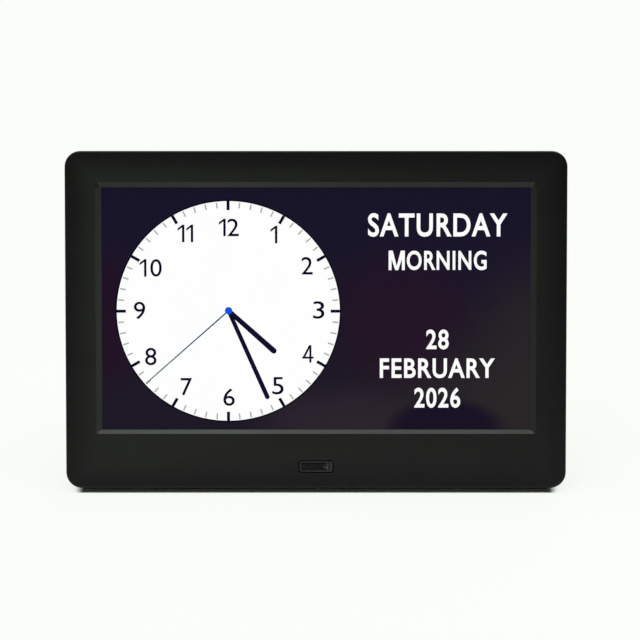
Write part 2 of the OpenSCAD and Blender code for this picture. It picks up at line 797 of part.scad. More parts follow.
// A flat socket that opens to the side: a thin shell, and a tongue or contact block inside
module side_socket(y, w, h, l, tongue_w, tongue_from, tongue_to, tongue_l) {
    difference() {
        block(socket_mouth, socket_mouth + l, y - w / 2, y + w / 2, board_back_d, board_back_d + h);
        block(socket_mouth - past, socket_mouth + l - shell_t, y - w / 2 + shell_t,
            y + w / 2 - shell_t, board_back_d + shell_t, board_back_d + h - shell_t);
    }
    block(socket_mouth + l - shell_t - tongue_l, socket_mouth + l - shell_t, y - tongue_w / 2,
        y + tongue_w / 2, board_back_d + tongue_from, board_back_d + tongue_to);
}

module usb_socket() {
    color([0.78, 0.79, 0.8])
        side_socket(usb_y, usb_w, usb_h, usb_l, usb_w - tongue_edges, usb_tongue_low,
            usb_tongue_high, usb_l - usb_mouth);
}

module card_socket() {
    color([0.76, 0.77, 0.78])
        side_socket(card_y, card_w, card_h, card_l, card_w - tongue_edges, shell_t,
            card_contact_high, card_contact_l);
}

module coin_cell_holder() {
    color([0.12, 0.12, 0.13]) difference() {
        rod(cell_x, cell_y, board_back_d, board_back_d + holder_floor + cell_t - 0.6, holder_r);
        rod(cell_x, cell_y, board_back_d + holder_floor, total_d, cell_r + fit_gap);
    }
}

module coin_cell() {
    color([0.8, 0.81, 0.83]) {
        rod(cell_x, cell_y, board_back_d + holder_floor, board_back_d + holder_floor + 0.6,
            cell_r - 0.8);
        rod(cell_x, cell_y, board_back_d + holder_floor + 0.6,
            board_back_d + holder_floor + cell_t, cell_r);
    }
}

module speaker_frame() {
    color([0.3, 0.31, 0.33]) translate([speaker_x, speaker_y, -plate_d]) {
        rotate_extrude() polygon([[speaker_r - basket_edge, 0], [speaker_r, 0],
            [speaker_r, speaker_rim_t], [magnet_r, speaker_rim_t + speaker_basket_t],
            [0, speaker_rim_t + speaker_basket_t],
            [0, speaker_rim_t + speaker_basket_t - basket_wall_t],
            [magnet_r - basket_lap, speaker_rim_t + speaker_basket_t - basket_wall_t],
            [speaker_r - basket_edge, speaker_rim_t - basket_wall_t]]);
        translate([0, 0, speaker_rim_t + speaker_basket_t]) cylinder(h = magnet_t, r = magnet_r);
    }
}

module speaker_cone() {
    cone_r = speaker_r - basket_edge;
    color([0.08, 0.08, 0.09]) translate([speaker_x, speaker_y, -plate_d]) {
        rotate_extrude() polygon([[0, 1.2], [3, 1.7], [cone_r - 2, 0.4], [cone_r, 0.4],
            [cone_r, 0.8], [cone_r - 1.8, 0.8], [3, 2.3], [0, 2.3]]);
    }
}

lead_r = 0.45;
lead_pitch = 1.6;
lead_d = board_back_d + 1;
lead_run = 6;

module speaker_leads() {
    color([0.75, 0.1, 0.08]) for (i = [-0.5, 0.5]) wire([
        [board_right - socket_edge, speaker_socket_y + i * lead_pitch, lead_d],
        [board_right + lead_run, speaker_socket_y + i * lead_pitch, lead_d],
        [speaker_x - speaker_r - 2 * lead_run, speaker_y + i * lead_pitch, lead_d],
        [speaker_x - magnet_r - 0.1, speaker_y + i * lead_pitch, lead_d + lead_pitch]], lead_r);
}

module key_board() {
    color([0.07, 0.33, 0.2]) difference() {
        block(-key_board_w / 2, key_board_w / 2, button_y - key_board_h / 2,
            button_y + key_board_h / 2, key_board_d, key_board_d + board_t);
        for (side = [-1, 1]) rod(side * key_post_x, key_hole_y, key_board_d - past,
            key_board_d + board_t + past, shank_r + 0.2);
    }
}

// Place of a button along its row, which reads in order from behind
function button_x(i) = ((button_count - 1) / 2 - i) * button_pitch;

module key_switches() {
    color([0.2, 0.2, 0.21]) for (i = [0:button_count - 1]) difference() {
        block(button_x(i) - switch_w / 2, button_x(i) + switch_w / 2, button_y - switch_w / 2,
            button_y + switch_w / 2, switch_d, switch_top_d);
        rod(button_x(i), button_y, cap_flange_d - plunger_l - button_travel - fit_gap,
            switch_top_d + past, plunger_r + plunger_gap);
    }
}

module plunger(i) {
    color([0.85, 0.84, 0.8])
        rod(button_x(i), button_y, cap_flange_d - plunger_l, cap_flange_d, plunger_r);
}

module button(i) {
    color([0.16, 0.16, 0.16]) {
        rod(button_x(i), button_y, cap_flange_d, cap_flange_d + cap_flange_t, cap_flange_r);
        rod(button_x(i), button_y, cap_flange_d + cap_flange_t, total_d + cap_proud, cap_r);
    }
}

module key_board_screws() {
    color([0.55, 0.56, 0.58]) for (side = [-1, 1])
        screw_to_back(side * key_post_x, key_hole_y, key_board_d, board_t + key_screw_bite);
}

module key_cable()
    color([0.85, 0.85, 0.82]) block(key_socket_x - cable_w / 2, key_socket_x + cable_w / 2,
        board_top - socket_edge, button_y - key_board_h / 2, cable_d, cable_d + cable_t);

module ir_board() {
    color([0.07, 0.33, 0.2]) difference() {
        block(-ir_board_w / 2, ir_board_w / 2, ir_board_low, ir_board_high, ir_board_d,
            ir_board_d + ir_board_t);
        for (side = [-1, 1])
            rod(side * ir_screw_x, ir_y, ir_board_d - past, bezel_d + past, shank_r + 0.2);
    }
}

module ir_receiver() {
    color([0.1, 0.09, 0.1]) {
        block(-3.2, 3.2, ir_y - 3, ir_y + 3, ir_board_d - 2.6, ir_board_d);
        intersection() {
            translate([0, ir_y, 2.2 - ir_board_d]) sphere(1.8);
            block(-2, 2, ir_y - 2, ir_y + 2, 0, ir_board_d - 2.6);
        }
    }
}

module ir_leads() {
    end_x = ir_socket_x - board_edge - socket_w / 2;
    color([0.2, 0.2, 0.22]) for (i = [-lead_pitch, 0, lead_pitch]) wire([
        [-ir_board_w / 2, ir_y + i, ir_board_d + ir_board_t / 2],
        [-ir_board_w / 2 - lead_run / 3 + i / 4, ir_y + i, ir_board_d + ir_board_t / 2],
        [end_x + i, ir_y + 2 * lead_run + 0.6 * i, lead_d],
        [end_x + i, board_low + socket_edge, lead_d]], lead_r);
}

module ir_board_screws() {
    color([0.55, 0.56, 0.58]) for (side = [-1, 1])
        screw_to_front(side * ir_screw_x, ir_y, bezel_d, ir_screw_l);
}

module hinge_pin() {
    color([0.7, 0.71, 0.73]) translate([-pin_l / 2, hinge_h, -hinge_d]) rotate([0, 90, 0])
        cylinder(h = pin_l, r = pin_r);
}

// Everything under the leg's cut at a height above the table
module under(height)
    translate([-body_w, -body_w, height - body_w]) cube([2 * body_w, 4 * body_w, body_w]);

module support_leg() {
    hollow_low = -leg_l + pad_t + 10;
    hollow_high = -hinge_r - leg_skin;
    hollow_count = 3;
    hollow_l = (hollow_high - hollow_low - (hollow_count - 1) * leg_skin) / hollow_count;
    color([0.12, 0.12, 0.12]) difference() {
        at_leg() difference() {
            union() {
                translate([-leg_w / 2, leg_front, -leg_l - leg_t]) cube([leg_w, leg_t, leg_l + leg_t]);
                translate([-leg_w / 2, 0, 0]) rotate([0, 90, 0]) cylinder(h = leg_w, r = hinge_r);
                translate([-leg_w / 2, heel_front, 0]) cube([leg_w, leg_back - heel_front, heel_h]);
            }
            translate([-leg_w / 2 - past, 0, 0]) rotate([0, 90, 0])
                cylinder(h = leg_w + 2 * past, r = pin_r + pin_gap);
            for (i = [0:hollow_count - 1])
                translate([-leg_w / 2 + leg_skin, leg_front - past,
                        hollow_low + i * (hollow_l + leg_skin)])
                    cube([leg_w - 2 * leg_skin, leg_t - leg_skin + past, hollow_l]);
        }
        under(pad_t);
    }
}

module leg_pad() {
    color([0.06, 0.06, 0.06]) difference() {
        at_leg() translate([-leg_w / 2 + leg_skin, leg_front, -leg_l - leg_t])
            cube([leg_w - 2 * leg_skin, leg_t, 3 * leg_t]);
        under(0);
        translate([-body_w, -body_w, pad_t]) cube([2 * body_w, 4 * body_w, body_w]);
    }
}

lean_back() front_bezel();
lean_back() ir_window();
lean_back() rear_cover();
lean_back() case_screws();
lean_back() lcd_gasket();
lean_back() lcd_glass();
lean_back() picture_dial();
lean_back() picture_hands();
lean_back() diffuser_sheet();
lean_back() light_guide();
lean_back() reflector_sheet();
lean_back() led_strip();
lean_back() backlight_frame();
lean_back() lcd_rear_tray();
lean_back() lcd_clips();
lean_back() lcd_clip_screws();
lean_back() lcd_flex();
lean_back() main_board();
lean_back() board_chips();
lean_back() capacitors();
lean_back() wire_sockets();
lean_back() board_screws();
lean_back() dc_jack();
lean_back() usb_socket();
lean_back() card_socket();
lean_back() coin_cell_holder();
lean_back() coin_cell();
lean_back() speaker_frame();
lean_back() speaker_cone();
lean_back() speaker_leads();
lean_back() key_board();
lean_back() key_switches();
lean_back() key_board_screws();
lean_back() key_cable();
lean_back() ir_board();
lean_back() ir_receiver();
lean_back() ir_leads();
lean_back() ir_board_screws();
lean_back() hinge_pin();
support_leg();
leg_pad();
for (i = [0:button_count - 1]) {
    lean_back() button(i);
    lean_back() plunger(i);
}
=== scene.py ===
# Day clock: black bezel round a lit screen, rear cover with buttons and sockets, support leg.
# Every piece but the leg and its pad is shaped lying flat (x right, y up the face, z to the
# viewer, the face at 0) in millimetres turned to metres, and then stood up in the leaning pose.
import math

import bmesh
import bpy
from mathutils import Matrix, Vector


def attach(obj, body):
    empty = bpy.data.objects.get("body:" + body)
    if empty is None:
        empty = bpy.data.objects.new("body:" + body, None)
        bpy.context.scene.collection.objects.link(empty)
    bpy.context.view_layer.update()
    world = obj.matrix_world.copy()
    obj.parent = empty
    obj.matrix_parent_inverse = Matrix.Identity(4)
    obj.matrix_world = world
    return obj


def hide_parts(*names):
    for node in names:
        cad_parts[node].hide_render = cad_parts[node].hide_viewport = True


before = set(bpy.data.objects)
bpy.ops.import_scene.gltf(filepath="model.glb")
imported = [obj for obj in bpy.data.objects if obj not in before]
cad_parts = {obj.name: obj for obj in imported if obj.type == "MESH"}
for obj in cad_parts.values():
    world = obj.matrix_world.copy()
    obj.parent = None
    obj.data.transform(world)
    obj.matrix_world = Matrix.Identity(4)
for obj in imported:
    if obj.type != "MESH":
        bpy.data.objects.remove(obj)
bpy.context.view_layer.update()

mm = 0.001
stance = {"lean": 12, "rise": 1.87121, "middle": 25.1367, "legTurn": 14,
          "hinge": (6.1921, 62.6865)}
standing = (Matrix.Translation((0, -stance["middle"] * mm, stance["rise"] * mm))
            @ Matrix.Rotation(math.radians(90 - stance["lean"]), 4, "X"))
legPlace = (Matrix.Translation((0, stance["hinge"][0] * mm, stance["hinge"][1] * mm))
            @ Matrix.Rotation(math.radians(stance["legTurn"]), 4, "X"))


# Choosing, editing and finishing meshes, with every length in mm

def choose(*pieces):
    if bpy.context.object and bpy.context.object.mode != "OBJECT":
        bpy.ops.object.mode_set(mode="OBJECT")
    bpy.ops.object.select_all(action="DESELECT")
    for piece in pieces:
        piece.select_set(True)
    bpy.context.view_layer.objects.active = pieces[-1]


def edit(piece, kind="FACE", chosen="DESELECT"):
    choose(piece)
    bpy.ops.object.mode_set(mode="EDIT")
    bpy.ops.mesh.select_mode(type=kind)
    bpy.ops.mesh.select_all(action=chosen)


def leave():  # back from editing
    bpy.ops.object.mode_set(mode="OBJECT")


def pickFaces(piece, test):  # starts editing, with faces chosen by centre and normal
    edit(piece)
    shape = bmesh.from_edit_mesh(piece.data)
    for face in shape.faces:
        face.select_set(bool(test(face.calc_center_median() / mm, face.normal)))
    bmesh.update_edit_mesh(piece.data)


def pickEdges(piece, test):  # the same, by both ends
    edit(piece, "EDGE")
    shape = bmesh.from_edit_mesh(piece.data)
    for edge in shape.edges:
        edge.select_set(bool(test(edge.verts[0].co / mm, edge.verts[1].co / mm)))
    bmesh.update_edit_mesh(piece.data)


def pickPoints(piece, test):
    edit(piece, "VERT")
    shape = bmesh.from_edit_mesh(piece.data)
    for point in shape.verts:
        point.select_set(bool(test(point.co / mm)))
    shape.select_flush_mode()
    bmesh.update_edit_mesh(piece.data)


def near(a, b):
    return abs(a - b) < 0.01


def applied(piece):  # its place, turn and scale go into the mesh
    bpy.ops.object.transform_apply(location=True, rotation=True, scale=True)
    return piece


def moved(piece, where):
    choose(piece)
    piece.matrix_world = where
    return applied(piece)


def turned(piece, angle, axis="Z"):
    return moved(piece, Matrix.Rotation(math.radians(angle), 4, axis))


def copyOf(piece):
    choose(piece)
    bpy.ops.object.duplicate(linked=False)
    return bpy.context.object


def named(name):  # the piece at hand
    piece = bpy.context.object
    piece.name = piece.data.name = name
    return piece


def addBox(name, low, high):
    bpy.ops.mesh.primitive_cube_add(size=1, location=[(a + b) / 2 * mm for a, b in zip(low, high)])
    piece = named(name)
    piece.scale = [(b - a) * mm for a, b in zip(low, high)]
    return applied(piece)


def addRod(name, x, y, low, high, radius, sides):
    bpy.ops.mesh.primitive_cylinder_add(vertices=sides, radius=radius * mm,
                                        depth=(high - low) * mm,
                                        location=(x * mm, y * mm, (low + high) / 2 * mm))
    return applied(named(name))


def pull(distance):  # extrudes the chosen faces along z
    bpy.ops.mesh.extrude_region_move(TRANSFORM_OT_translate={"value": (0, 0, distance * mm)})


def widen(x, y, timesX, timesY):  # stretches what is chosen, about an upright line
    bpy.ops.transform.resize(value=(timesX, timesY, 1), center_override=(x * mm, y * mm, 0))


def roundEdges(piece, test, radius, segments):
    pickEdges(piece, test)
    bpy.ops.mesh.bevel(offset=radius * mm, segments=segments, affect="EDGES")
    leave()


def roundRim(piece, height, radius, segments):  # the edges that lie at one height
    roundEdges(piece, lambda a, b: near(a.z, height) and near(b.z, height), radius, segments)


def roundBlock(name, low, high, radius, segments):  # a box with its upright edges rounded
    piece = addBox(name, low, high)
    roundEdges(piece, lambda a, b: near(a.x, b.x) and near(a.y, b.y), radius, segments)
    return piece


def hollow(piece, height, wall, floorHeight):  # from the flat face at one height to the floor's
    pickFaces(piece, lambda at, normal: near(at.z, height) and abs(normal.z) > 0.9)
    bpy.ops.mesh.inset(thickness=wall * mm)
    pull(floorHeight - height)
    leave()


def openMouth(piece, height, flare, centre, size, past):  # widens a cutter's end like a chamfer
    away = 1 if past > 0 else -1
    pickFaces(piece, lambda at, normal: near(at.z, height) and normal.z * away > 0.9)
    pull(away * flare)
    widen(*centre, (size[0] + 2 * flare) / size[0], (size[1] + 2 * flare) / size[1])
    pull(past)
    leave()


def cutOff(piece, height, keep):  # closes the cut, and keeps what is above (1) or below (-1) it
    edit(piece, chosen="SELECT")
    bpy.ops.mesh.bisect(plane_co=(0, 0, height * mm), plane_no=(0, 0, keep), use_fill=True,
                        clear_inner=True)
    leave()


def joined(name, pieces):
    choose(*pieces)
    if len(pieces) > 1:
        bpy.ops.object.join()
    return named(name)


def combine(piece, other, operation="DIFFERENCE"):
    choose(piece)
    change = piece.modifiers.new("change", "BOOLEAN")
    change.operation, change.solver, change.object = operation, "EXACT", other
    bpy.ops.object.modifier_apply(modifier=change.name)
    bpy.data.objects.remove(other, do_unlink=True)


def soften(piece, width=0, segments=2, angle=35):  # small round edges, if any, and even shading
    choose(piece)
    if width:
        bevel = piece.modifiers.new("softEdge", "BEVEL")
        bevel.width, bevel.segments, bevel.limit_method = width * mm, segments, "ANGLE"
        bevel.angle_limit = math.radians(angle)
        bpy.ops.object.modifier_apply(modifier=bevel.name)
    bpy.ops.object.shade_smooth_by_angle(angle=math.radians(angle))
    weigh = piece.modifiers.new("evenShade", "WEIGHTED_NORMAL")
    weigh.keep_sharp = True
    bpy.ops.object.modifier_apply(modifier=weigh.name)


def place(piece, where, body, finish, replaced=()):
    moved(piece, where)
    piece.data.materials.clear()
    piece.data.materials.append(finish)
    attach(piece, body)
    if replaced:
        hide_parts(*replaced)


# Finishes

class Wire:
    def __init__(self, tree, socket=None):
        self.tree, self.socket = tree, socket

    def node(self, kind, settings=(), inputs=(), output=0):
        made = self.tree.nodes.new("ShaderNode" + kind)
        for name, value in dict(settings).items():
            setattr(made, name, value)
        for name, value in dict(inputs).items():
            if isinstance(value, Wire):
                self.tree.links.new(value.socket, made.inputs[name])
            else:
                made.inputs[name].default_value = value
        return Wire(self.tree, made.outputs[output])

    def maths(self, operation, second=0.0):
        return self.node("Math", {"operation": operation}, {0: self, 1: second})

    def __add__(self, other):
        return self.maths("ADD", other)

    def __sub__(self, other):
        return self.maths("SUBTRACT", other)

    def __rsub__(self, other):
        return self.node("Math", {"operation": "SUBTRACT"}, {0: other, 1: self})

    def __mul__(self, other):
        return self.maths("MULTIPLY", other)

    def __truediv__(self, other):
        return self.maths("DIVIDE", other)

    __radd__, __rmul__ = __add__, __mul__

    def size(self):
        return self.maths("ABSOLUTE")

    def ramp(self, low, high):  # 0 below low, 1 above high, smooth between
        return self.node("MapRange", {"interpolation_type": "SMOOTHSTEP"},
                         {"Value": self, "From Min": low, "From Max": high})

    def band(self, low, high, soft=0.0002):  # 1 between low and high
        return self.ramp(low - soft, low + soft) * (1 - self.ramp(high - soft, high + soft))

    def blend(self, low, high):  # this wire as the share of the second colour
        ends = [value if isinstance(value, Wire) else (*value, 1) for value in (low, high)]
        return self.node("Mix", {"data_type": "RGBA"}, {0: self, 6: ends[0], 7: ends[1]}, 2)

    def times(self, level):  # a colour made lighter or darker
        return self.node("VectorMath", {"operation": "SCALE"}, {0: self, "Scale": level}, "Vector")

    def part(self, axis):
        return self.node("SeparateXYZ", {}, {0: self}, axis)

    def stretched(self, scale):
        return self.node("Mapping", {}, {"Vector": self, "Scale": scale})

    def away(self, x, y, z):  # how far from a point given in mm
        return self.node("VectorMath", {"operation": "DISTANCE"},
                         {0: self, 1: (x * mm, y * mm, z * mm)}, "Value")

    def noise(self, scale, detail=2.0):
        return self.node("TexNoise", {}, {"Vector": self, "Scale": scale, "Detail": detail})

    def zigzag(self, pitch):  # 0 to 1 and back, along this wire
        return self.maths("PINGPONG", pitch) / pitch

    def bump(self, strength, distance):
        return self.node("Bump", {}, {"Strength": strength, "Distance": distance, "Height": self})


def linear(*levels):  # 0 to 255 as the screen shows it, to scene colour
    return tuple(level / 255 / 12.92 if level <= 10 else ((level / 255 + 0.055) / 1.055) ** 2.4
                 for level in levels)


def newFinish(name, uniform):
    finish = bpy.data.materials.new(name)
    finish.use_nodes = True
    shader = finish.node_tree.nodes["Principled BSDF"]
    for socket, value in uniform.items():
        shader.inputs[socket].default_value = value
    return finish, shader, Wire(finish.node_tree).node("TexCoord", output="Object")


def feed(finish, shader, **wires):
    sockets = {"colour": "Base Color", "roughness": "Roughness", "metallic": "Metallic",
               "emission": "Emission Color", "normal": "Normal"}
    for name, wire in wires.items():
        finish.node_tree.links.new(wire.socket, shader.inputs[sockets[name]])
    return finish


def facePlace(at):  # from the standing clock back to x, y up the face, z out of the face
    return at.node("Mapping", {"vector_type": "TEXTURE"}, {
        "Vector": at, "Location": (0, -stance["middle"] * mm, stance["rise"] * mm),
        "Rotation": (math.radians(90 - stance["lean"]), 0, 0)})


def mouldedPlastic(name, colour, roughness, grain, specular=0.5, paintedLight=None):
    finish, shader, at = newFinish(name, {"Specular IOR Level": specular})
    speckle = at.noise(2600)  # the mould's fine spark texture
    cloud = at.noise(28, 3)  # slow changes from flow and handling
    smear = at.stretched((30, 30, 140)).noise(1.0, 4)
    tint = (0.55 * cloud + 0.45 * speckle).ramp(0.3, 0.7)
    shade = tint.blend([0.88 * part for part in colour], [1.1 * part for part in colour])
    # painted light and shade, where a piece is given them
    if paintedLight:
        shade = paintedLight(facePlace(at), shade)
    rough = roughness - 0.06 + 0.08 * smear + 0.05 * speckle
    return feed(finish, shader, colour=shade, roughness=rough, normal=speckle.bump(grain, 0.00006))


def metal(name, colour, roughness, stretch=(1, 1, 1), grain=0.15):
    finish, shader, at = newFinish(name, {"Metallic": 1.0})
    brushed = at.stretched(stretch).noise(900, 3)
    dull = at.noise(120, 3).ramp(0.35, 0.7)
    shade = (0.5 * dull + 0.5 * brushed).blend([0.8 * part for part in colour], colour)
    rough = roughness + 0.12 * dull + 0.06 * brushed
    return feed(finish, shader, colour=shade, roughness=rough, normal=brushed.bump(grain, 0.00003))


# Camera, lights and floor, in metres but for the camera's distance and aim

view = {"elevation": 14.9, "distance": 900, "lens": 122.1, "aim": (1.64, -10.6, 70.4),
        "sensor": 36, "clip": (0.05, 30)}
tilt = math.radians(view["elevation"])
bpy.ops.object.camera_add(
    location=[(a + view["distance"] * b) * mm
              for a, b in zip(view["aim"], (0, -math.cos(tilt), math.sin(tilt)))],
    rotation=(math.pi / 2 - tilt, 0, 0))
camera = bpy.context.object
camera.name = "camera"
camera.data.lens, camera.data.sensor_width = view["lens"], view["sensor"]
camera.data.clip_start, camera.data.clip_end = view["clip"]
camera.data.dof.use_dof = False
bpy.context.scene.camera = camera
bpy.context.scene.view_settings.view_transform = "Standard"

studio = {"paper": linear(250, 253, 248), "zenith": 0.42, "horizon": 0.06, "front": 0.02,
          "behind": 0.45, "floor": 14}
lampPlan = {  # place, aim, size, power (W)
    "topLamp": ((0.0, -0.10, 1.10), (0, 0, 0), (1.3, 1.1), 9.6),
    "frontLamp": ((-0.55, -1.20, 0.95), (0, 0, 0.05), (0.7, 0.7), 4),
    "backLamp": ((0.5, 1.3, 0.9), (0, 0, 0.05), (0.9, 0.7), 5)}
for lampName, (spot, aim, size, power) in lampPlan.items():
    bpy.ops.object.light_add(type="AREA", location=spot)
    lamp = bpy.context.object
    lamp.name = lampName
    lamp.data.shape, lamp.data.size, lamp.data.size_y = "RECTANGLE", *size
    lamp.data.energy = power
    lamp.visible_glossy = lampName != "frontLamp"  # no glare on the black front
    lamp.rotation_euler = (Vector(aim) - Vector(spot)).to_track_quat("-Z", "Y").to_euler()

world = bpy.data.worlds.new("studioAir")
bpy.context.scene.world = world
world.use_nodes = True
air = Wire(world.node_tree)


def seenPlainly(wire):  # 1 for what the camera sees, also through glass
    return (wire.node("LightPath", output="Is Camera Ray")
            + wire.node("LightPath", output="Is Transmission Ray")).ramp(0.0, 0.5)


sky = air.node("TexCoord", output="Generated")
ahead, above = sky.part(1), sky.part(2)  # ahead is -1 in front of the clock, 1 behind it
mirrored = air.node("LightPath", output="Is Glossy Ray")
mirrorLevel = studio["front"] + (studio["behind"] - studio["front"]) * ahead.ramp(-0.65, 0.1)
ambient = studio["horizon"] + (studio["zenith"] - studio["horizon"]) * above.ramp(0.0, 0.8)
shown = seenPlainly(air)
level = shown + (1 - shown) * (mirrored * mirrorLevel + (1 - mirrored) * ambient)
backdrop = world.node_tree.nodes["Background"]
backdrop.inputs["Color"].default_value = (*studio["paper"], 1)
world.node_tree.links.new(level.socket, backdrop.inputs["Strength"])

shadow = {"half": 0.0985, "endSoft": 0.0015, "front": -0.0256, "back": -0.0221, "soft": 0.0004,
          "colour": linear(106, 108, 106)}  # painted shadow: a darker floor colour under the case's front edge
unshaded = {"front": -0.0255, "frontFade": 0.0008, "side": 0.0972, "sideFade": 0.0042,
            "behind": (0.05, 0.2), "far": (0.2, 0.7), "share": 0.85}
bpy.ops.mesh.primitive_plane_add(size=studio["floor"], location=(0, 0, 0))
floor = bpy.context.object
floor.name = "studioFloor"
paper, paperShader, paperAt = newFinish("floorPaper", {"Roughness": 0.9, "Specular IOR Level": 0.0})
grainy = paperAt.noise(40).blend(linear(249, 252, 247), linear(251, 254, 249))
paperX, paperY = paperAt.part(0), paperAt.part(1)
strip = (paperX.band(-shadow["half"], shadow["half"], shadow["endSoft"])
         * paperY.band(shadow["front"], shadow["back"], shadow["soft"]))
# the paper's grain, with the painted shadow strip under the case
feed(paper, paperShader, colour=strip.blend(grainy, shadow["colour"]))
glow = paperAt.node("Emission", {}, {"Color": (*studio["paper"], 1), "Strength": 1.0})
far = paperAt.away(0, 0, 0).ramp(*unshaded["far"])
clear = (unshaded["front"] - paperY).ramp(0.0, unshaded["frontFade"])  # no shade in the photo
clear = clear.maths("MAXIMUM", (paperX.size() - unshaded["side"]).ramp(0.0, unshaded["sideFade"]))
clear = clear.maths("MAXIMUM", paperY.ramp(*unshaded["behind"]))
glowShare = seenPlainly(paperAt) * (unshaded["share"] * clear + (1 - unshaded["share"]) * far)
mixed = paperAt.node("MixShader", {}, {
    0: glowShare, 1: Wire(paper.node_tree, paperShader.outputs[0]), 2: glow})
paper.node_tree.links.new(mixed.socket, paper.node_tree.nodes["Material Output"].inputs["Surface"])
floor.data.materials.append(paper)
print("stage: camera, lamps and floor")


# Bezel: sizes of the body, the screen's opening and the window's opening

body = {"width": 208, "height": 140, "bezelDepth": 9, "corner": 6.6, "rim": 0.7, "wall": 2.2,
        "plate": 2.4}
screen = {"width": 177.9, "height": 100.6, "middleY": 74.6, "lipSide": 2.4, "lipTop": 2.15,
          "lipBottom": 1.65, "lipDepth": 1.8, "lipCorner": 1.6, "crisp": 0.2, "past": 3}
eyes = {"y": 9, "width": 14.8, "height": 5.4, "corner": 1.35}
# levels of the painted light and shade on the bezel's colour
bezelLight = {"face": 1.25, "left": 1.08, "fallRight": 0.48, "foot": 0.8, "riseUp": 0.4,
              "rimAcross": (0.089, 0.1045), "rimUp": (0.056, 0.0705),
              "topLip": 0.9, "bottomLip": 2.0, "sideLip": 0.4}


def screenCutter():  # the opening, with the slope that leads down to the glass
    halfW, halfH = screen["width"] / 2, screen["height"] / 2
    wide, low, corner = screen["lipSide"], screen["lipDepth"], screen["lipCorner"]
    tall = {-1: screen["lipBottom"], 1: screen["lipTop"]}
    cutter = roundBlock("screenCutter",
                        (-halfW - wide, screen["middleY"] - halfH - tall[-1], 0),
                        (halfW + wide, screen["middleY"] + halfH + tall[1], 2), corner, 6)
    pickFaces(cutter, lambda at, normal: normal.z < -0.9)
    pull(-low)
    kept = corner * (1 - screen["crisp"])  # keeps the inner corners crisp
    for sideX in (-1, 1):
        for sideY in (-1, 1):
            pickPoints(cutter, lambda at: near(at.z, -low) and at.x * sideX > 0
                       and (at.y - screen["middleY"]) * sideY > 0)
            widen(sideX * (halfW + wide - corner),
                  screen["middleY"] + sideY * (halfH + tall[sideY] - corner),
                  screen["crisp"], screen["crisp"])
            bpy.ops.transform.translate(value=(-sideX * (wide - kept) * mm,
                                               -sideY * (tall[sideY] - kept) * mm, 0))
    pickFaces(cutter, lambda at, normal: near(at.z, -low) and normal.z < -0.9)
    pull(-screen["past"])
    leave()
    return cutter


def paintBezelLight(face, shade):  # painted light and shade: darker at the moulding's rim and to the right, lighter upward, and the lips' slopes painted darker at the top and lighter at the bottom and sides
    x, y = face.part(0), face.part(1)
    halfW, halfH = screen["width"] / 2 * mm, screen["height"] / 2 * mm
    up = y - screen["middleY"] * mm
    wide, top, bottom = (screen[name] * mm for name in ("lipSide", "lipTop", "lipBottom"))
    rim = x.size().ramp(*bezelLight["rimAcross"]).maths(
        "MAXIMUM", (y - body["height"] / 2 * mm).size().ramp(*bezelLight["rimUp"]))
    level = ((bezelLight["face"] - rim)
             * (bezelLight["left"] - bezelLight["fallRight"] * x.ramp(-0.1, 0.1))
             * (bezelLight["foot"] + bezelLight["riseUp"] * y.ramp(0.0, 0.14)))
    within = x.band(-halfW - wide, halfW + wide)
    lips = (1 - bezelLight["topLip"] * within * up.band(halfH, halfH + top)
            + bezelLight["bottomLip"] * within * up.band(-halfH - bottom, -halfH)
            + bezelLight["sideLip"] * x.size().band(halfW, halfW + wide) * up.band(-halfH, halfH))
    return shade.times(level * lips)


blackShell = mouldedPlastic("bezelBlack", linear(23, 25, 23), 0.36, 0.3, 0.4, paintBezelLight)
bezel = roundBlock("frontBezel", (-body["width"] / 2, 0, -body["bezelDepth"]),
                   (body["width"] / 2, body["height"], 0), body["corner"], 18)
roundRim(bezel, 0, body["rim"], 5)
hollow(bezel, -body["bezelDepth"], body["wall"], -body["plate"])
combine(bezel, screenCutter())
combine(bezel, roundBlock("eyeCutter", (-eyes["width"] / 2, eyes["y"] - eyes["height"] / 2, -4),
                          (eyes["width"] / 2, eyes["y"] + eyes["height"] / 2, 1),
                          eyes["corner"], 8))
soften(bezel, 0.22, 3)
place(bezel, standing, "case", blackShell, ["front_bezel"])
print("bezel: done")


# Infrared window: a sunk plate with a framed bay, a clear pane in it and a small dome

eyeWindow = {"sink": 1.2, "gap": 0.3, "corner": 1.08, "root": -1.5,
             "frame": (-6.75, 6.75, 2.15, -0.35), "bay": (-6.15, 5.65, 1.6, -1.0),
             "pane": (-5.75, 5.2, 1.2, -0.6), "dome": (3.9, 0.75), "domeRise": 0.35}


def paintWindowLight(face, shade):  # painted light: the frame round the bay painted paler, for the light on its rims, and a painted glint past the small dome
    x, up = face.part(0), face.part(1) - eyes["y"] * mm
    left, right, half, _ = (value * mm for value in eyeWindow["bay"])
    inBay = x.band(left, right, 0.0001) * up.band(-half, half, 0.0001)
    domeX, radius = eyeWindow["dome"]
    aside = x - domeX * mm
    past = (aside * aside + up * up).maths("SQRT").ramp(radius * mm, 1.3 * radius * mm)
    # the painted glint, a crescent of reflected light beside the dome
    paintedGlint = past * x.band((domeX + 0.5) * mm, (eyeWindow["pane"][1] - 0.1) * mm)
    return inBay.blend(linear(52, 53, 53), (0.8 * paintedGlint).blend(shade, linear(84, 86, 86)))


def eyeBlock(name, corner, segments):
    left, right, half, height = eyeWindow[name]
    back, front = (height, 0) if name == "bay" else (eyeWindow["root"], height)
    return roundBlock(name, (left, eyes["y"] - half, back), (right, eyes["y"] + half, front),
                      corner, segments)


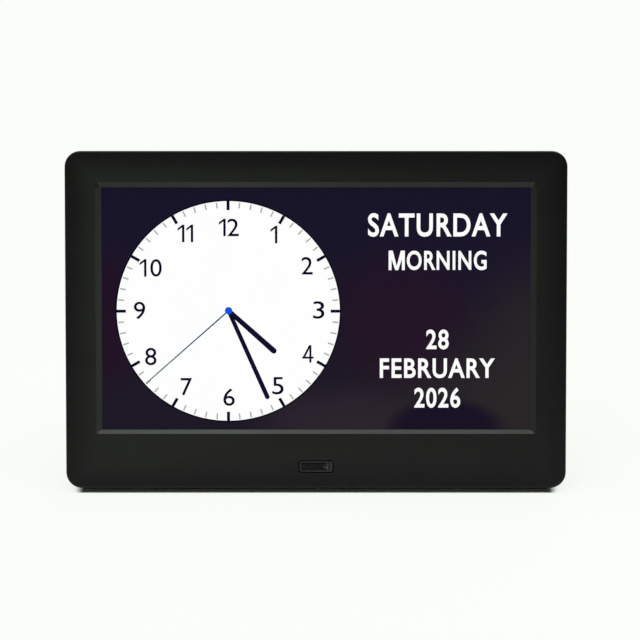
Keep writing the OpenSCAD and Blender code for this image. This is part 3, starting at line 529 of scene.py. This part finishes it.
windowDark = mouldedPlastic("windowTint", linear(18, 18, 19), 0.18, 0.1, 0.8, paintWindowLight)
plate = roundBlock(
    "infraredWindow",
    (-eyes["width"] / 2 + eyeWindow["gap"], eyes["y"] - eyes["height"] / 2 + eyeWindow["gap"],
     -body["plate"] - 1),
    (eyes["width"] / 2 - eyeWindow["gap"], eyes["y"] + eyes["height"] / 2 - eyeWindow["gap"],
     -eyeWindow["sink"]), eyeWindow["corner"], 8)
rimFrame = eyeBlock("frame", 0.9, 6)
combine(rimFrame, eyeBlock("bay", 0.4, 4))
combine(plate, rimFrame, "UNION")
combine(plate, eyeBlock("pane", 0.3, 4), "UNION")
bpy.ops.mesh.primitive_uv_sphere_add(
    segments=40, ring_count=20, radius=eyeWindow["dome"][1] * mm,
    location=(eyeWindow["dome"][0] * mm, eyes["y"] * mm, eyeWindow["pane"][3] * mm))
dome = bpy.context.object
dome.scale = (1, 1, eyeWindow["domeRise"])
combine(plate, applied(dome), "UNION")
soften(plate, 0.12, 2)
place(plate, standing, "case", windowDark, ["ir_window"])
print("infrared window: done")


# Rear cover

cover = {"halfWidth": 101.5, "low": 2.5, "high": 137.5, "rim": -7.5, "back": -21, "plate": -18.8,
         "corner": 4.1, "backEdge": 3, "inside": -17.8, "seams": ((-31, 31), (62, 100))}
screws = {"places": [(x, y) for y in (8.1, 131.9) for x in (-95.9, 95.9)]
          + [(-47.95, 8.1), (47.95, 8.1)],
          "seat": -11.2, "sink": 2.6, "hole": 1.4}
posts = {"foot": 0.5, "drill": 1.15, "kinds": [  # radius, top, sides, places
    (3.6, -9, 32, screws["places"]),
    (2.6, -11, 24, [(-72.3, 42), (-30.3, 42), (-94.3, 102), (-30.3, 102)]),
    (2.4, -13.1, 24, [(-42.6, 116), (42.6, 116)])]}
buttons = {"names": ["power", "menu", "left", "up", "down", "right", "exit"], "y": 116,
           "pitch": 12, "radius": 3, "gap": 0.3, "proud": 0.8, "flange": 3.9,
           "flangeFrom": -17.6, "flangeTo": -18.5, "edge": 0.55,
           "dish": ((0.7, 0.04), (0.6, 0.08), (0.5, 0.05))}
hooks = {"x": 75, "y": 116, "radius": 4.2, "slot": 2.1, "rise": 8}
vents = {"x": 54, "high": 94, "length": 22, "width": 1.6, "pitch": 4, "count": 5}
speaker = {"x": 58, "y": 44, "radius": 14, "gap": 0.3, "ring": 15.8, "ringTop": -16.8,
           "hole": 1.0, "step": 14 / 4.6, "circles": 4}
label = {"x": -58, "y": 26.7, "width": 48, "height": 22, "corner": 2, "sink": 0.3}
pocket = {"half": 18.4, "high": 73.108, "floor": -14.6, "skin": 1.6, "wall": 2.2, "low": 3.6}
hinge = {"y": 66, "z": -18, "half": 21.6, "radius": 1.52}
room = {"edge": 1.1, "back": 1.5, "front": -5}
sockets = {"dc": (89, -14.5, 3.8), "usb": (72.6, 6.85, -17.0, -10.7),
           "card": (51.6, 13.3, -14.5, -10.7), "deep": -4, "flare": 0.3}


def buttonX(i):  # from behind, the row reads in order from the left
    return ((len(buttons["names"]) - 1) / 2 - i) * buttons["pitch"]


def holeRod(x, y, radius, flare, inside=cover["inside"], sides=40):
    rod = addRod("cutter", x, y, cover["back"] + flare, inside, radius, sides)
    openMouth(rod, cover["back"] + flare, flare, (x, y), (2 * radius, 2 * radius), -1)
    return rod


def holeBox(fromX, toX, fromY, toY, flare, inside=cover["inside"], corner=0):
    low, high = (fromX, fromY, cover["back"] + flare), (toX, toY, inside)
    box = roundBlock("cutter", low, high, corner, 6) if corner else addBox("cutter", low, high)
    openMouth(box, cover["back"] + flare, flare, ((fromX + toX) / 2, (fromY + toY) / 2),
              (toX - fromX, toY - fromY), -1)
    return box


def sideHole(piece, y, z):  # turns a cutter made along z to open at the cover's -X side
    return moved(piece, Matrix.Translation((-cover["halfWidth"] * mm, y * mm, z * mm))
                 @ Matrix.Rotation(math.radians(-90), 4, "Y"))


shell = roundBlock("rearCover", (-cover["halfWidth"], cover["low"], cover["back"]),
                   (cover["halfWidth"], cover["high"], cover["rim"]), cover["corner"], 14)
roundRim(shell, cover["back"], cover["backEdge"], 7)
hollow(shell, cover["rim"], body["wall"], cover["plate"])
edit(shell)
for axis, seams in enumerate(cover["seams"]):  # smaller faces, cleaner cuts
    for at in seams:
        bpy.ops.mesh.select_all(action="SELECT")
        bpy.ops.mesh.bisect(plane_co=[at * mm if i == axis else 0 for i in range(3)],
                            plane_no=[int(i == axis) for i in range(3)])
leave()

foot = cover["plate"] - posts["foot"]
standers = [addRod("post", x, y, foot, top, radius, sides)
            for radius, top, sides, places in posts["kinds"] for x, y in places]
standers += [addRod("ring", speaker["x"], speaker["y"], foot, speaker["ringTop"],
                    speaker["ring"], 64),
             addBox("pocketWalls", (-pocket["half"] - pocket["wall"], pocket["low"], foot),
                    (pocket["half"] + pocket["wall"], pocket["high"] + pocket["wall"],
                     pocket["floor"] + pocket["skin"]))]
roomBlock = addBox("room", (-cover["halfWidth"] + room["edge"], cover["low"] + room["edge"],
                            cover["back"] + room["back"]),
                   (cover["halfWidth"] - room["edge"], cover["high"] - room["edge"],
                    room["front"]))
inner = joined("posts", standers)
combine(inner, roomBlock, "INTERSECT")
combine(shell, inner, "UNION")
combine(shell, moved(addRod("cutter", 0, 0, -hinge["half"], hinge["half"], hinge["radius"], 28),
                     Matrix.Translation((0, hinge["y"] * mm, hinge["z"] * mm))
                     @ Matrix.Rotation(math.radians(90), 4, "Y")))

first = [addRod("cutter", x, y, cover["back"] - 2, room["front"], screws["hole"], 24)
         for x, y in screws["places"]]
first += [addRod("cutter", x, y, cover["plate"], room["front"], posts["drill"], 20)
          for kind in posts["kinds"][1:] for x, y in kind[3]]
first += [addRod("cutter", speaker["x"], speaker["y"], cover["plate"], -10,
                 speaker["radius"] + speaker["gap"], 64)]
for side in (-1, 1):
    first += [holeRod(side * hooks["x"], hooks["y"], hooks["radius"], 0.35),
              holeRod(side * hooks["x"], hooks["y"] + hooks["rise"], hooks["slot"], 0.35,
                      sides=28)]
first += [holeBox(-pocket["half"], pocket["half"], -2, pocket["high"], 0.5, pocket["floor"]),
          holeBox(label["x"] - label["width"] / 2, label["x"] + label["width"] / 2,
                  label["y"] - label["height"] / 2, label["y"] + label["height"] / 2, 0.15,
                  cover["back"] + label["sink"], label["corner"])]
combine(shell, joined("firstCuts", first))

second = [holeRod(x, y, screws["sink"], 0.4, screws["seat"]) for x, y in screws["places"]]
second += [holeRod(buttonX(i), buttons["y"], buttons["radius"] + buttons["gap"], 0.35, sides=48)
           for i in range(len(buttons["names"]))]
for side in (-1, 1):
    second += [holeBox(side * hooks["x"] - hooks["slot"], side * hooks["x"] + hooks["slot"],
                       hooks["y"], hooks["y"] + hooks["rise"], 0.35)]
    for i in range(vents["count"]):
        top = vents["high"] - i * vents["pitch"]
        second += [holeBox(side * vents["x"] - vents["length"] / 2,
                           side * vents["x"] + vents["length"] / 2,
                           top - vents["width"], top, 0.25, corner=0.5)]
for circle in range(speaker["circles"]):
    count = max(1, 6 * circle)
    for i in range(count):
        turn = 2 * math.pi / count * i
        second += [holeRod(speaker["x"] + circle * speaker["step"] * math.cos(turn),
                           speaker["y"] + circle * speaker["step"] * math.sin(turn),
                           speaker["hole"], 0.2, sides=20)]
combine(shell, joined("secondCuts", second))

dcY, dcZ, dcRadius = sockets["dc"]
dc = addRod("cutter", 0, 0, sockets["deep"], -sockets["flare"], dcRadius, 40)
openMouth(dc, -sockets["flare"], sockets["flare"], (0, 0), (2 * dcRadius, 2 * dcRadius), 1)
third = [sideHole(dc, dcY, dcZ)]
for y, halfY, back, front in (sockets["usb"], sockets["card"]):
    halfZ = (front - back) / 2
    slit = roundBlock("cutter", (-halfZ, -halfY, sockets["deep"]),
                      (halfZ, halfY, -sockets["flare"]), 0.5, 4)
    openMouth(slit, -sockets["flare"], sockets["flare"], (0, 0), (2 * halfZ, 2 * halfY), 1)
    third += [sideHole(slit, y, (front + back) / 2)]
combine(shell, joined("thirdCuts", third))
soften(shell, angle=32)
coverBlack = mouldedPlastic("coverBlack", linear(28, 28, 28), 0.55, 0.9)
place(shell, standing, "case", coverBlack, ["rear_cover"])
print("rear cover: done")


# Buttons

buttonBlack = mouldedPlastic("buttonBlack", linear(44, 44, 44), 0.42, 0.2)
capTop = cover["back"] - buttons["proud"]
for i, name in enumerate(buttons["names"]):
    cap = addRod(name + "Cap", buttonX(i), buttons["y"], buttons["flangeTo"],
                 buttons["flangeFrom"], buttons["flange"], 48)
    pickFaces(cap, lambda at, normal: normal.z < -0.9)
    bpy.ops.mesh.inset(thickness=(buttons["flange"] - buttons["radius"]) * mm)
    pull(capTop - buttons["flangeTo"])
    roundRim(cap, capTop, buttons["edge"], 5)
    pickFaces(cap, lambda at, normal: near(at.z, capTop) and normal.z < -0.9)
    for step, rise in buttons["dish"]:  # a shallow dish for the finger
        bpy.ops.mesh.inset(thickness=step * mm, depth=-rise * mm)
    leave()
    soften(cap, angle=40)
    place(cap, standing, name + "_key", buttonBlack, [name + "_button"])
print("buttons: done")


# Support leg, shaped in its own frame: its hinge along x, z up the leg, y to its back face

leg = {"half": 18, "front": -2, "back": 3, "length": 65.354, "over": 5, "hinge": 3, "heel": 6,
       "heelFront": -0.634, "bore": 1.55, "skin": 2, "pad": 1.6, "padRoom": 10, "hollows": 3,
       "hollowLow": -53.754, "hollowHigh": -5}


def crossRod(name, radius, half, sides):
    return turned(addRod(name, 0, 0, -half, half, radius, sides), 90, "Y")


strut = addBox("supportLeg", (-leg["half"], leg["front"], -leg["length"] - leg["over"]),
               (leg["half"], leg["back"], 0))
combine(strut, crossRod("barrel", leg["hinge"], leg["half"], 40), "UNION")
combine(strut, addBox("heel", (-leg["half"], leg["heelFront"], -0.5),
                      (leg["half"], leg["back"], leg["heel"])), "UNION")
combine(strut, crossRod("bore", leg["bore"], leg["half"] + 1, 28))
hollowHeight = (leg["hollowHigh"] - leg["hollowLow"]
                - (leg["hollows"] - 1) * leg["skin"]) / leg["hollows"]
bottoms = [leg["hollowLow"] + i * (hollowHeight + leg["skin"]) for i in range(leg["hollows"])]
combine(strut, joined("hollows", [
    addBox("hollow", (-leg["half"] + leg["skin"], leg["front"] - 1, bottom),
           (leg["half"] - leg["skin"], leg["back"] - leg["skin"], bottom + hollowHeight))
    for bottom in bottoms]))
moved(strut, legPlace)
cutOff(strut, leg["pad"], 1)
soften(strut, 0.4, 3)
place(strut, Matrix.Identity(4), "leg", coverBlack, ["support_leg"])
print("support leg: done")


# Lit screen: dark glass, a white dial with its marks and numerals, the drawn hands and the words

dial = {"x": -36.5, "y": 73.58, "halfWidth": 46.38, "halfHeight": 45.7, "back": -2.9,
        "front": -2.82, "markDepth": (-2.83, -2.78), "outline": 0.8}
marks = {"hourMarks": (0, 3.75, 1.25), "minuteMarks": (0.35, 2.45, 0.62)}  # inset, length, width
numerals = {"height": 7.3, "digit": 4.75, "weight": 0.002, "one": 2.85,
            "places": {"12": (0.3, 34.8), "1": (19.0, 31.85), "2": (32.75, 18.9),
                       "3": (37.6, 0.5), "4": (33.15, -17.8), "5": (20.6, -31.1),
                       "6": (0.25, -35.85), "7": (-17.5, -31.5), "8": (-32.3, -18.9),
                       "9": (-36.9, 0.3), "10": (-32.2, 18.0), "11": (-17.75, 32.3)},
            "widths": {"12": 8.3, "10": 9.2, "11": 6.5}}
hands = {  # tip, its radius, the root's radius, back and front
    "hourHand": ((18.9, -16.5), 1.18, 1.0, (-2.8, -2.76)),
    "minuteHand": ((16.2, -35.75), 0.97, 0.86, (-2.78, -2.74)),
    "secondHand": ((-34.2, -30.0), 0.23, 0.28, (-2.76, -2.72)),
    "handHub": ((0.13, 0.2), 1.54, 1.54, (-2.74, -2.7))}
handRoot = (0.12, 0.2)
words = {"x": 50.5, "weight": 0.021, "spacing": 1.1, "letterM": 0.83, "gap": 0.1,
         "depth": (-2.9, -2.86),
         "lines": [("SATURDAY", 34.8, 57.9, 9.8), ("MORNING", 20.1, 40.7, 8.1),
                   ("28", -12.8, 9.4, 8.3), ("FEBRUARY", -24.8, 47.9, 8.3),
                   ("2026", -37.1, 19.2, 8.5)]}
pixel = 0.174  # one picture dot across, in mm

# The built-in 1 is a bare bar, and thickened, the built-in 4 and M fold over themselves
barSigns = {
    "1": [((1.72, 0), (2.65, 0), (2.65, 7), (1.72, 7)),
          ((0, 4.55), (1.9, 6.03), (1.9, 6.98), (0, 5.5))],
    "4": [((3.05, 0), (3.95, 0), (3.95, 7), (3.05, 7)),
          ((0, 1.62), (4.95, 1.62), (4.95, 2.4), (0, 2.4)),
          ((0.02, 1.9), (1.02, 1.9), (3.9, 6.98), (2.9, 6.98))],
    "M": [((0, 0), (1.15, 0), (1.15, 7), (0, 7)),
          ((5.25, 0), (6.4, 0), (6.4, 7), (5.25, 7)),
          ((2.62, 0.01), (3.6, 0.01), (1.6, 6.99), (0.05, 6.99)),
          ((2.8, 0.02), (3.78, 0.02), (6.35, 6.98), (4.8, 6.98))]}


def fitBox(piece, low, high):  # stretches a mesh to fill a box
    lines = [*zip(*(point.co for point in piece.data.vertices))]
    least, most = (Vector([end(line) for line in lines]) for end in (min, max))
    choose(piece)
    piece.location = -least
    applied(piece)
    piece.scale = [(b - a) * mm / (last - start)
                   for a, b, start, last in zip(low, high, least, most)]
    piece.location = Vector(low) * mm
    return applied(piece)


def lettering(text, weight, low, high, spacing=1.0):
    choose(floor)
    bpy.ops.object.text_add()
    sign = bpy.context.object
    sign.data.body, sign.data.size, sign.data.extrude = text, 1, 0.05
    sign.data.offset, sign.data.resolution_u, sign.data.space_character = weight, 5, spacing
    bpy.ops.object.convert(target="MESH")
    sign = bpy.context.object
    edit(sign, chosen="SELECT")
    bpy.ops.mesh.remove_doubles(threshold=0.00001)
    bpy.ops.mesh.normals_make_consistent(inside=False)
    leave()
    return fitBox(sign, low, high)


def strokes(text, low, high):  # a sign from straight bars, each given by its four corners
    bars = []
    for bottomLeft, bottomRight, topRight, topLeft in barSigns[text]:
        bar = addBox("bar", (0, 0, 0), (1, 1, 1))
        for point in bar.data.vertices:
            ends = (bottomLeft, bottomRight) if point.co.y < 0.5 * mm else (topLeft, topRight)
            x, y = ends[int(point.co.x > 0.5 * mm)]
            point.co = (x * mm, y * mm, point.co.z)
        bars.append(bar)
    for bar in bars[1:]:
        combine(bars[0], bar, "UNION")
    return fitBox(bars[0], low, high)


def numeral(text, x, y):
    single = numerals["one"] if text == "1" else numerals["digit"]
    width = numerals["widths"].get(text, single)
    low, high = y - numerals["height"] / 2, y + numerals["height"] / 2
    back, front = dial["markDepth"]
    digits = []
    for sign, atRight in zip(text, (len(text) == 1, True)):
        wide = numerals["one"] if sign == "1" else numerals["digit"]
        start = x + width / 2 - wide if atRight else x - width / 2
        box = (start, low, back), (start + wide, high, front)
        digits.append(strokes(sign, *box) if sign in barSigns
                      else lettering(sign, numerals["weight"], *box))
    return digits


def dots(face):  # the fine columns and rows of the lit picture
    columns, rows = ((face.part(axis) * (2 * math.pi / pixel / mm)).maths("SINE")
                     for axis in (0, 1))
    return 0.5 + 0.25 * columns + 0.25 * rows


def litPicture(name, low, high, shareOf=None):  # glowing dots, dark when the light is off
    finish, shader, at = newFinish(name, {"Emission Strength": 1.0, "Specular IOR Level": 0.05,
                                          "Base Color": (0.001, 0.001, 0.0015, 1)})
    face = facePlace(at)
    share = shareOf(face) if shareOf else 0.6 * dots(face) + 0.4 * at.noise(60)
    rough = 0.22 + 0.05 * at.noise(300)
    return feed(finish, shader, emission=share.blend(low, high), roughness=rough)


def lcdGlass():
    finish, shader, at = newFinish("lcdGlass", {"Emission Strength": 1.0,
                                                "Specular IOR Level": 0.3,
                                                "Base Color": (0.003, 0.002, 0.005, 1)})
    face = facePlace(at)
    halfW, halfH = screen["width"] / 2, screen["height"] / 2
    across = face.part(0) / (halfW * mm)
    up = (face.part(1) - screen["middleY"] * mm) / (halfH * mm)

    def oval(x, y, wide, high, inside):  # 1 in the middle of an oval, 0 past its rim
        offX, offY = (across - x) / wide, (up - y) / high
        return 1 - (offX * offX + offY * offY).ramp(inside, 1.0)

    def tinted(ground, share, colour, *where):
        return (share * oval(*where)).blend(ground, linear(*colour))

    cloud = face.noise(22)
    ground = up.ramp(-1.0, 0.9).blend(linear(29, 25, 36), linear(21, 18, 40))
    ground = tinted(ground, 0.75, (36, 10, 34), -1.0, -0.1, 0.22, 0.75, 0.0)
    ground = tinted(ground, 0.7, (39, 15, 34), 0.4, -0.12, 0.42, 0.75, 0.0)
    grey = (0.9 * across - 0.55 * up + 0.7 * cloud).ramp(0.75, 1.6)
    ground = grey.blend(ground, linear(45, 41, 38))
    ground = tinted(ground, 0.75, (52, 42, 49), 0.12, -1.05, 0.5, 0.5, 0.0)
    ground = tinted(ground, 1, (22, 15, 34), 0.605, -1.0, 0.31, 0.29, 0.4)
    outline = oval(dial["x"] / halfW, (dial["y"] - screen["middleY"]) / halfH,
                   (dial["halfWidth"] + dial["outline"]) / halfW,
                   (dial["halfHeight"] + dial["outline"]) / halfH, 0.985)
    ground = outline.blend(ground, (0, 0, 0.001))
    shade = (0.2 * dots(face) + 0.35 * cloud).blend(ground, (0.006, 0.004, 0.009))
    rough = 0.06 + 0.05 * at.noise(180, 3)
    return feed(finish, shader, emission=shade, roughness=rough)


def screenPiece(piece, name, finish, replaced=()):
    choose(piece)
    piece.location = (dial["x"] * mm, dial["y"] * mm, 0)
    place(applied(named(name)), standing, "case", finish, replaced)


whitePixels = litPicture("whitePixels", linear(251, 253, 251), linear(255, 255, 255))
navyPixels = litPicture("navyPixels", linear(2, 1, 22), linear(10, 7, 44))
greyPixels = litPicture("greyPixels", linear(164, 166, 166), linear(182, 184, 184))
bluePixels = litPicture("bluePixels", linear(14, 68, 214), linear(22, 90, 234))
handPixels = litPicture("handPixels", linear(4, 4, 34), linear(26, 16, 52))
tealPixels = litPicture("tealPixels", linear(6, 50, 100), linear(26, 92, 102), lambda face:
                        face.away(dial["x"], dial["y"], -2.74).ramp(0.012, 0.042))

disc = addRod("dialFace", 0, 0, dial["back"], dial["front"], dial["halfHeight"], 180)
fitBox(disc, (-dial["halfWidth"], -dial["halfHeight"], dial["back"]),
       (dial["halfWidth"], dial["halfHeight"], dial["front"]))
roundRim(disc, dial["front"], 0.03, 2)
screenPiece(disc, "dialFace", whitePixels, ["picture_dial"])

for name, finish, slotName in (("hourMarks", navyPixels, "picture_navy"),
                               ("minuteMarks", greyPixels, "picture_white")):
    inset, length, width = marks[name]
    mark = addBox("mark", (-width / 2, dial["halfHeight"] - inset - length, dial["markDepth"][0]),
                  (width / 2, dial["halfHeight"] - inset - 0.01, dial["markDepth"][1]))
    roundRim(mark, dial["markDepth"][1], 0.02, 1)
    turns = [6 * i for i in range(60) if (i % 5 == 0) == (name == "hourMarks")]
    ring = joined(name, [turned(copyOf(mark), -turn) for turn in turns])
    bpy.data.objects.remove(mark, do_unlink=True)
    ring.scale = (dial["halfWidth"] / dial["halfHeight"], 1, 1)
    screenPiece(ring, name, finish)

signs = [sign for text, (x, y) in numerals["places"].items() for sign in numeral(text, x, y)]
screenPiece(joined("dialNumerals", signs), "dialNumerals", navyPixels)

for name, (tip, tipRadius, rootRadius, (back, front)) in hands.items():
    hand = joined(name, [addRod("root", *handRoot, back, front, rootRadius, 36),
                         addRod("tip", *tip, back, front, tipRadius, 36)])
    edit(hand, chosen="SELECT")
    bpy.ops.mesh.convex_hull()
    leave()
    finish = {"secondHand": tealPixels, "handHub": bluePixels}.get(name, handPixels)
    replaced = ["picture_hands"] if name == "hourHand" else []
    screenPiece(hand, name, finish, replaced)

for text, y, width, height in words["lines"]:
    left, right = words["x"] - width / 2, words["x"] + width / 2
    low, high = screen["middleY"] + y - height / 2, screen["middleY"] + y + height / 2
    back, front = words["depth"]
    parts = []
    if text[0] == "M":
        parts = [strokes("M", (left, low, back), (left + words["letterM"] * height, high, front))]
        left += (words["letterM"] + words["gap"]) * height
    parts.append(lettering(text.lstrip("M"), words["weight"], (left, low, back),
                           (right, high, front), words["spacing"]))
    place(joined("word" + text.capitalize(), parts), standing, "case",
          whitePixels)
print("screen: done")


# Case screws, with a cross recess, and the leg's rubber pad

screwHead = {"radius": 2.0, "height": 1.3, "edge": 0.55, "shank": 1.1, "length": 9.8,
             "cross": (2.4, 0.55), "deep": 0.75, "taper": 0.6, "turn": 17, "nextTurn": 41}
headTop = screws["seat"] - screwHead["height"]
screw = addRod("caseScrew", 0, 0, headTop, screws["seat"], screwHead["radius"], 40)
roundRim(screw, headTop, screwHead["edge"], 5)
combine(screw, addRod("shank", 0, 0, screws["seat"] - 0.2, screws["seat"] + screwHead["length"],
                      screwHead["shank"], 24), "UNION")
for wide, tall in (screwHead["cross"], screwHead["cross"][::-1]):
    slot = addBox("slot", (-wide / 2, -tall / 2, headTop - 1),
                  (wide / 2, tall / 2, headTop + screwHead["deep"]))
    pickFaces(slot, lambda at, normal: normal.z > 0.9)
    widen(0, 0, screwHead["taper"], screwHead["taper"])
    leave()
    combine(screw, slot)
soften(screw)
row = [moved(turned(copyOf(screw), screwHead["turn"] + screwHead["nextTurn"] * i),
             Matrix.Translation((x * mm, y * mm, 0))) for i, (x, y) in enumerate(screws["places"])]
bpy.data.objects.remove(screw, do_unlink=True)
screwSteel = metal("screwSteel", linear(150, 152, 158), 0.3, grain=0.2)
place(joined("caseScrews", row), standing, "case", screwSteel, ["case_screws"])

grooves = {"at": (20.3, 21.5, 22.7, 23.9), "width": 0.5, "deep": 0.35}
pad = moved(addBox("legPad", (-leg["half"] + leg["skin"], leg["front"],
                              -leg["length"] - leg["over"]),
                   (leg["half"] - leg["skin"], leg["back"], -leg["length"] + leg["padRoom"])),
            legPlace)
cutOff(pad, 0, 1)
cutOff(pad, leg["pad"], -1)
combine(pad, joined("grooves", [
    addBox("groove", (-leg["half"], at, -0.6),
           (leg["half"], at + grooves["width"], grooves["deep"])) for at in grooves["at"]]))
soften(pad, 0.15, 2)
padRubber = mouldedPlastic("padRubber", linear(30, 30, 31), 0.8, 1.2, 0.25)
place(pad, Matrix.Identity(4), "leg", padRubber, ["leg_pad"])
print("screws and pad: done")


# Finishes of the pieces inside, seen through the vents and sockets

def circuitBoard(name):  # solder mask over tracks, with tinned pads
    finish, shader, at = newFinish(name, {"Specular IOR Level": 0.5})
    face = facePlace(at)
    tracks = (face.part(1) + 0.004 * face.noise(160)).zigzag(0.0009).ramp(0.55, 0.62)
    cells = face.node("TexVoronoi", {}, {"Vector": face, "Scale": 240.0}, "Distance")
    pads = 1 - cells.ramp(0.14, 0.17)
    green = tracks.blend(linear(22, 92, 52), linear(30, 112, 64))
    return feed(finish, shader, colour=pads.blend(green, linear(196, 190, 170)),
                roughness=0.32 - 0.1 * pads, metallic=0.85 * pads,
                normal=(tracks + pads).bump(0.3, 0.00005))


def striped(name, ground, stripe, pitch, roughness):  # ribbons, strips and cables
    finish, shader, at = newFinish(name, {"Specular IOR Level": 0.45})
    lines = facePlace(at).part(0).zigzag(pitch * mm).ramp(0.5, 0.65)
    return feed(finish, shader, colour=lines.blend(ground, stripe),
                roughness=roughness + 0.1 * at.noise(200), normal=lines.bump(0.3, 0.00005))


def dcPlastic():  # black housing round a bright pin
    finish, shader, at = newFinish("dcPlastic", {"Specular IOR Level": 0.45})
    face = facePlace(at)
    up, out = face.part(1) - dcY * mm, face.part(2) - dcZ * mm
    pin = 1 - (up * up + out * out).maths("SQRT").ramp(0.00115, 0.0012)
    speckle = at.noise(2200)
    shade = pin.blend(speckle.blend(linear(20, 20, 21), linear(30, 30, 31)), linear(176, 172, 160))
    return feed(finish, shader, colour=shade, roughness=0.5 - 0.25 * pin, metallic=pin,
                normal=speckle.bump(0.3, 0.00005))


def usbShell():  # bright shell round a dark tongue
    finish, shader, at = newFinish("usbShell", {})
    face = facePlace(at)
    y, halfY, back, front = sockets["usb"]
    up, out = face.part(1) - y * mm, face.part(2) - (back + front) / 2 * mm
    tongue = (1 - up.size().ramp(0.0052, 0.0053)) * (1 - out.size().ramp(0.0014, 0.0015))
    brushed = at.stretched((0.2, 1, 1)).noise(1400, 3)
    bright = brushed.blend(linear(158, 160, 164), linear(196, 198, 200))
    return feed(finish, shader, colour=tongue.blend(bright, linear(30, 30, 32)),
                roughness=0.28 + 0.12 * brushed + 0.15 * tongue, metallic=1 - tongue,
                normal=brushed.bump(0.15, 0.00003))


def clearGuide():
    finish, shader, at = newFinish("clearGuide", {"Transmission Weight": 0.9, "IOR": 1.49,
                                                  "Specular IOR Level": 0.5})
    etched = at.node("TexVoronoi", {}, {"Scale": 900.0}, "Distance").ramp(0.2, 0.5)
    return feed(finish, shader, colour=etched.blend(linear(232, 238, 240), linear(246, 250, 250)),
                roughness=0.08 + 0.1 * at.noise(90))


def coneFabric():
    finish, shader, at = newFinish("conePaper", {"Specular IOR Level": 0.3})
    away = facePlace(at).away(speaker["x"], speaker["y"], cover["plate"])
    ridges = (away * 7000).maths("SINE")
    fibre = at.noise(1500, 4)
    return feed(finish, shader, colour=fibre.blend(linear(20, 20, 22), linear(42, 42, 44)),
                roughness=0.75 + 0.1 * fibre,
                normal=(0.6 * ridges + 0.4 * fibre).bump(0.5, 0.00015))


blackNylon = mouldedPlastic("blackNylon", linear(30, 30, 30), 0.5, 0.4)
whiteNylon = mouldedPlastic("whiteNylon", linear(214, 211, 200), 0.45, 0.3)
boltSteel = metal("boltSteel", linear(150, 152, 156), 0.3)
sheetSteel = metal("sheetSteel", linear(188, 190, 194), 0.32, (0.1, 1, 1))
chipEpoxy = mouldedPlastic("chipEpoxy", linear(30, 30, 32), 0.6, 0.8)
greenBoard = circuitBoard("greenBoard")
opticalFilm = mouldedPlastic("opticalFilm", linear(232, 233, 230), 0.35, 0.1)
innerFinishes = {
    "lcd_glass": lcdGlass(),
    "backlight_frame": mouldedPlastic("frameWhite", linear(222, 222, 218), 0.4, 0.3),
    "board_chips": chipEpoxy, "key_switches": chipEpoxy,
    "board_screws": boltSteel, "ir_board_screws": boltSteel, "key_board_screws": boltSteel,
    "lcd_clip_screws": boltSteel, "lcd_clips": sheetSteel, "lcd_rear_tray": sheetSteel,
    "capacitors": metal("canAluminium", linear(196, 198, 202), 0.3, (1, 0.1, 0.1)),
    "card_socket": metal("cardShell", linear(184, 186, 190), 0.28, (0.2, 1, 1)),
    "usb_socket": usbShell(), "dc_jack": dcPlastic(),
    "coin_cell": metal("cellSteel", linear(200, 202, 204), 0.25), "coin_cell_holder": blackNylon,
    "diffuser_sheet": opticalFilm, "reflector_sheet": opticalFilm, "light_guide": clearGuide(),
    "hinge_pin": metal("pinSteel", linear(176, 178, 182), 0.25, (0.05, 1, 1)),
    "ir_board": greenBoard, "key_board": greenBoard, "main_board": greenBoard,
    "ir_receiver": mouldedPlastic("receiverTint", linear(20, 20, 21), 0.18, 0.1, 0.8),
    "ir_leads": mouldedPlastic("leadBlack", linear(34, 34, 36), 0.45, 0.2),
    "speaker_leads": mouldedPlastic("leadRed", linear(160, 26, 22), 0.42, 0.2),
    "key_cable": striped("ribbonCable", linear(220, 219, 212), linear(150, 150, 146), 0.5, 0.5),
    "lcd_flex": striped("flexAmber", linear(184, 118, 40), linear(150, 84, 26), 0.35, 0.35),
    "led_strip": striped("ledStrip", linear(214, 196, 110), linear(240, 236, 210), 4.0, 0.45),
    "lcd_gasket": mouldedPlastic("foamBlack", linear(30, 30, 30), 0.9, 1.5, 0.15),
    "speaker_cone": coneFabric(),
    "speaker_frame": metal("basketSteel", linear(84, 84, 88), 0.38, grain=0.3),
    "wire_sockets": mouldedPlastic("socketCream", linear(220, 214, 196), 0.45, 0.3)}
for name in buttons["names"]:
    innerFinishes[name + "_plunger"] = whiteNylon
for name, finish in innerFinishes.items():
    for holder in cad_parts[name].material_slots:
        holder.material = finish
print("inner pieces: finishes given")
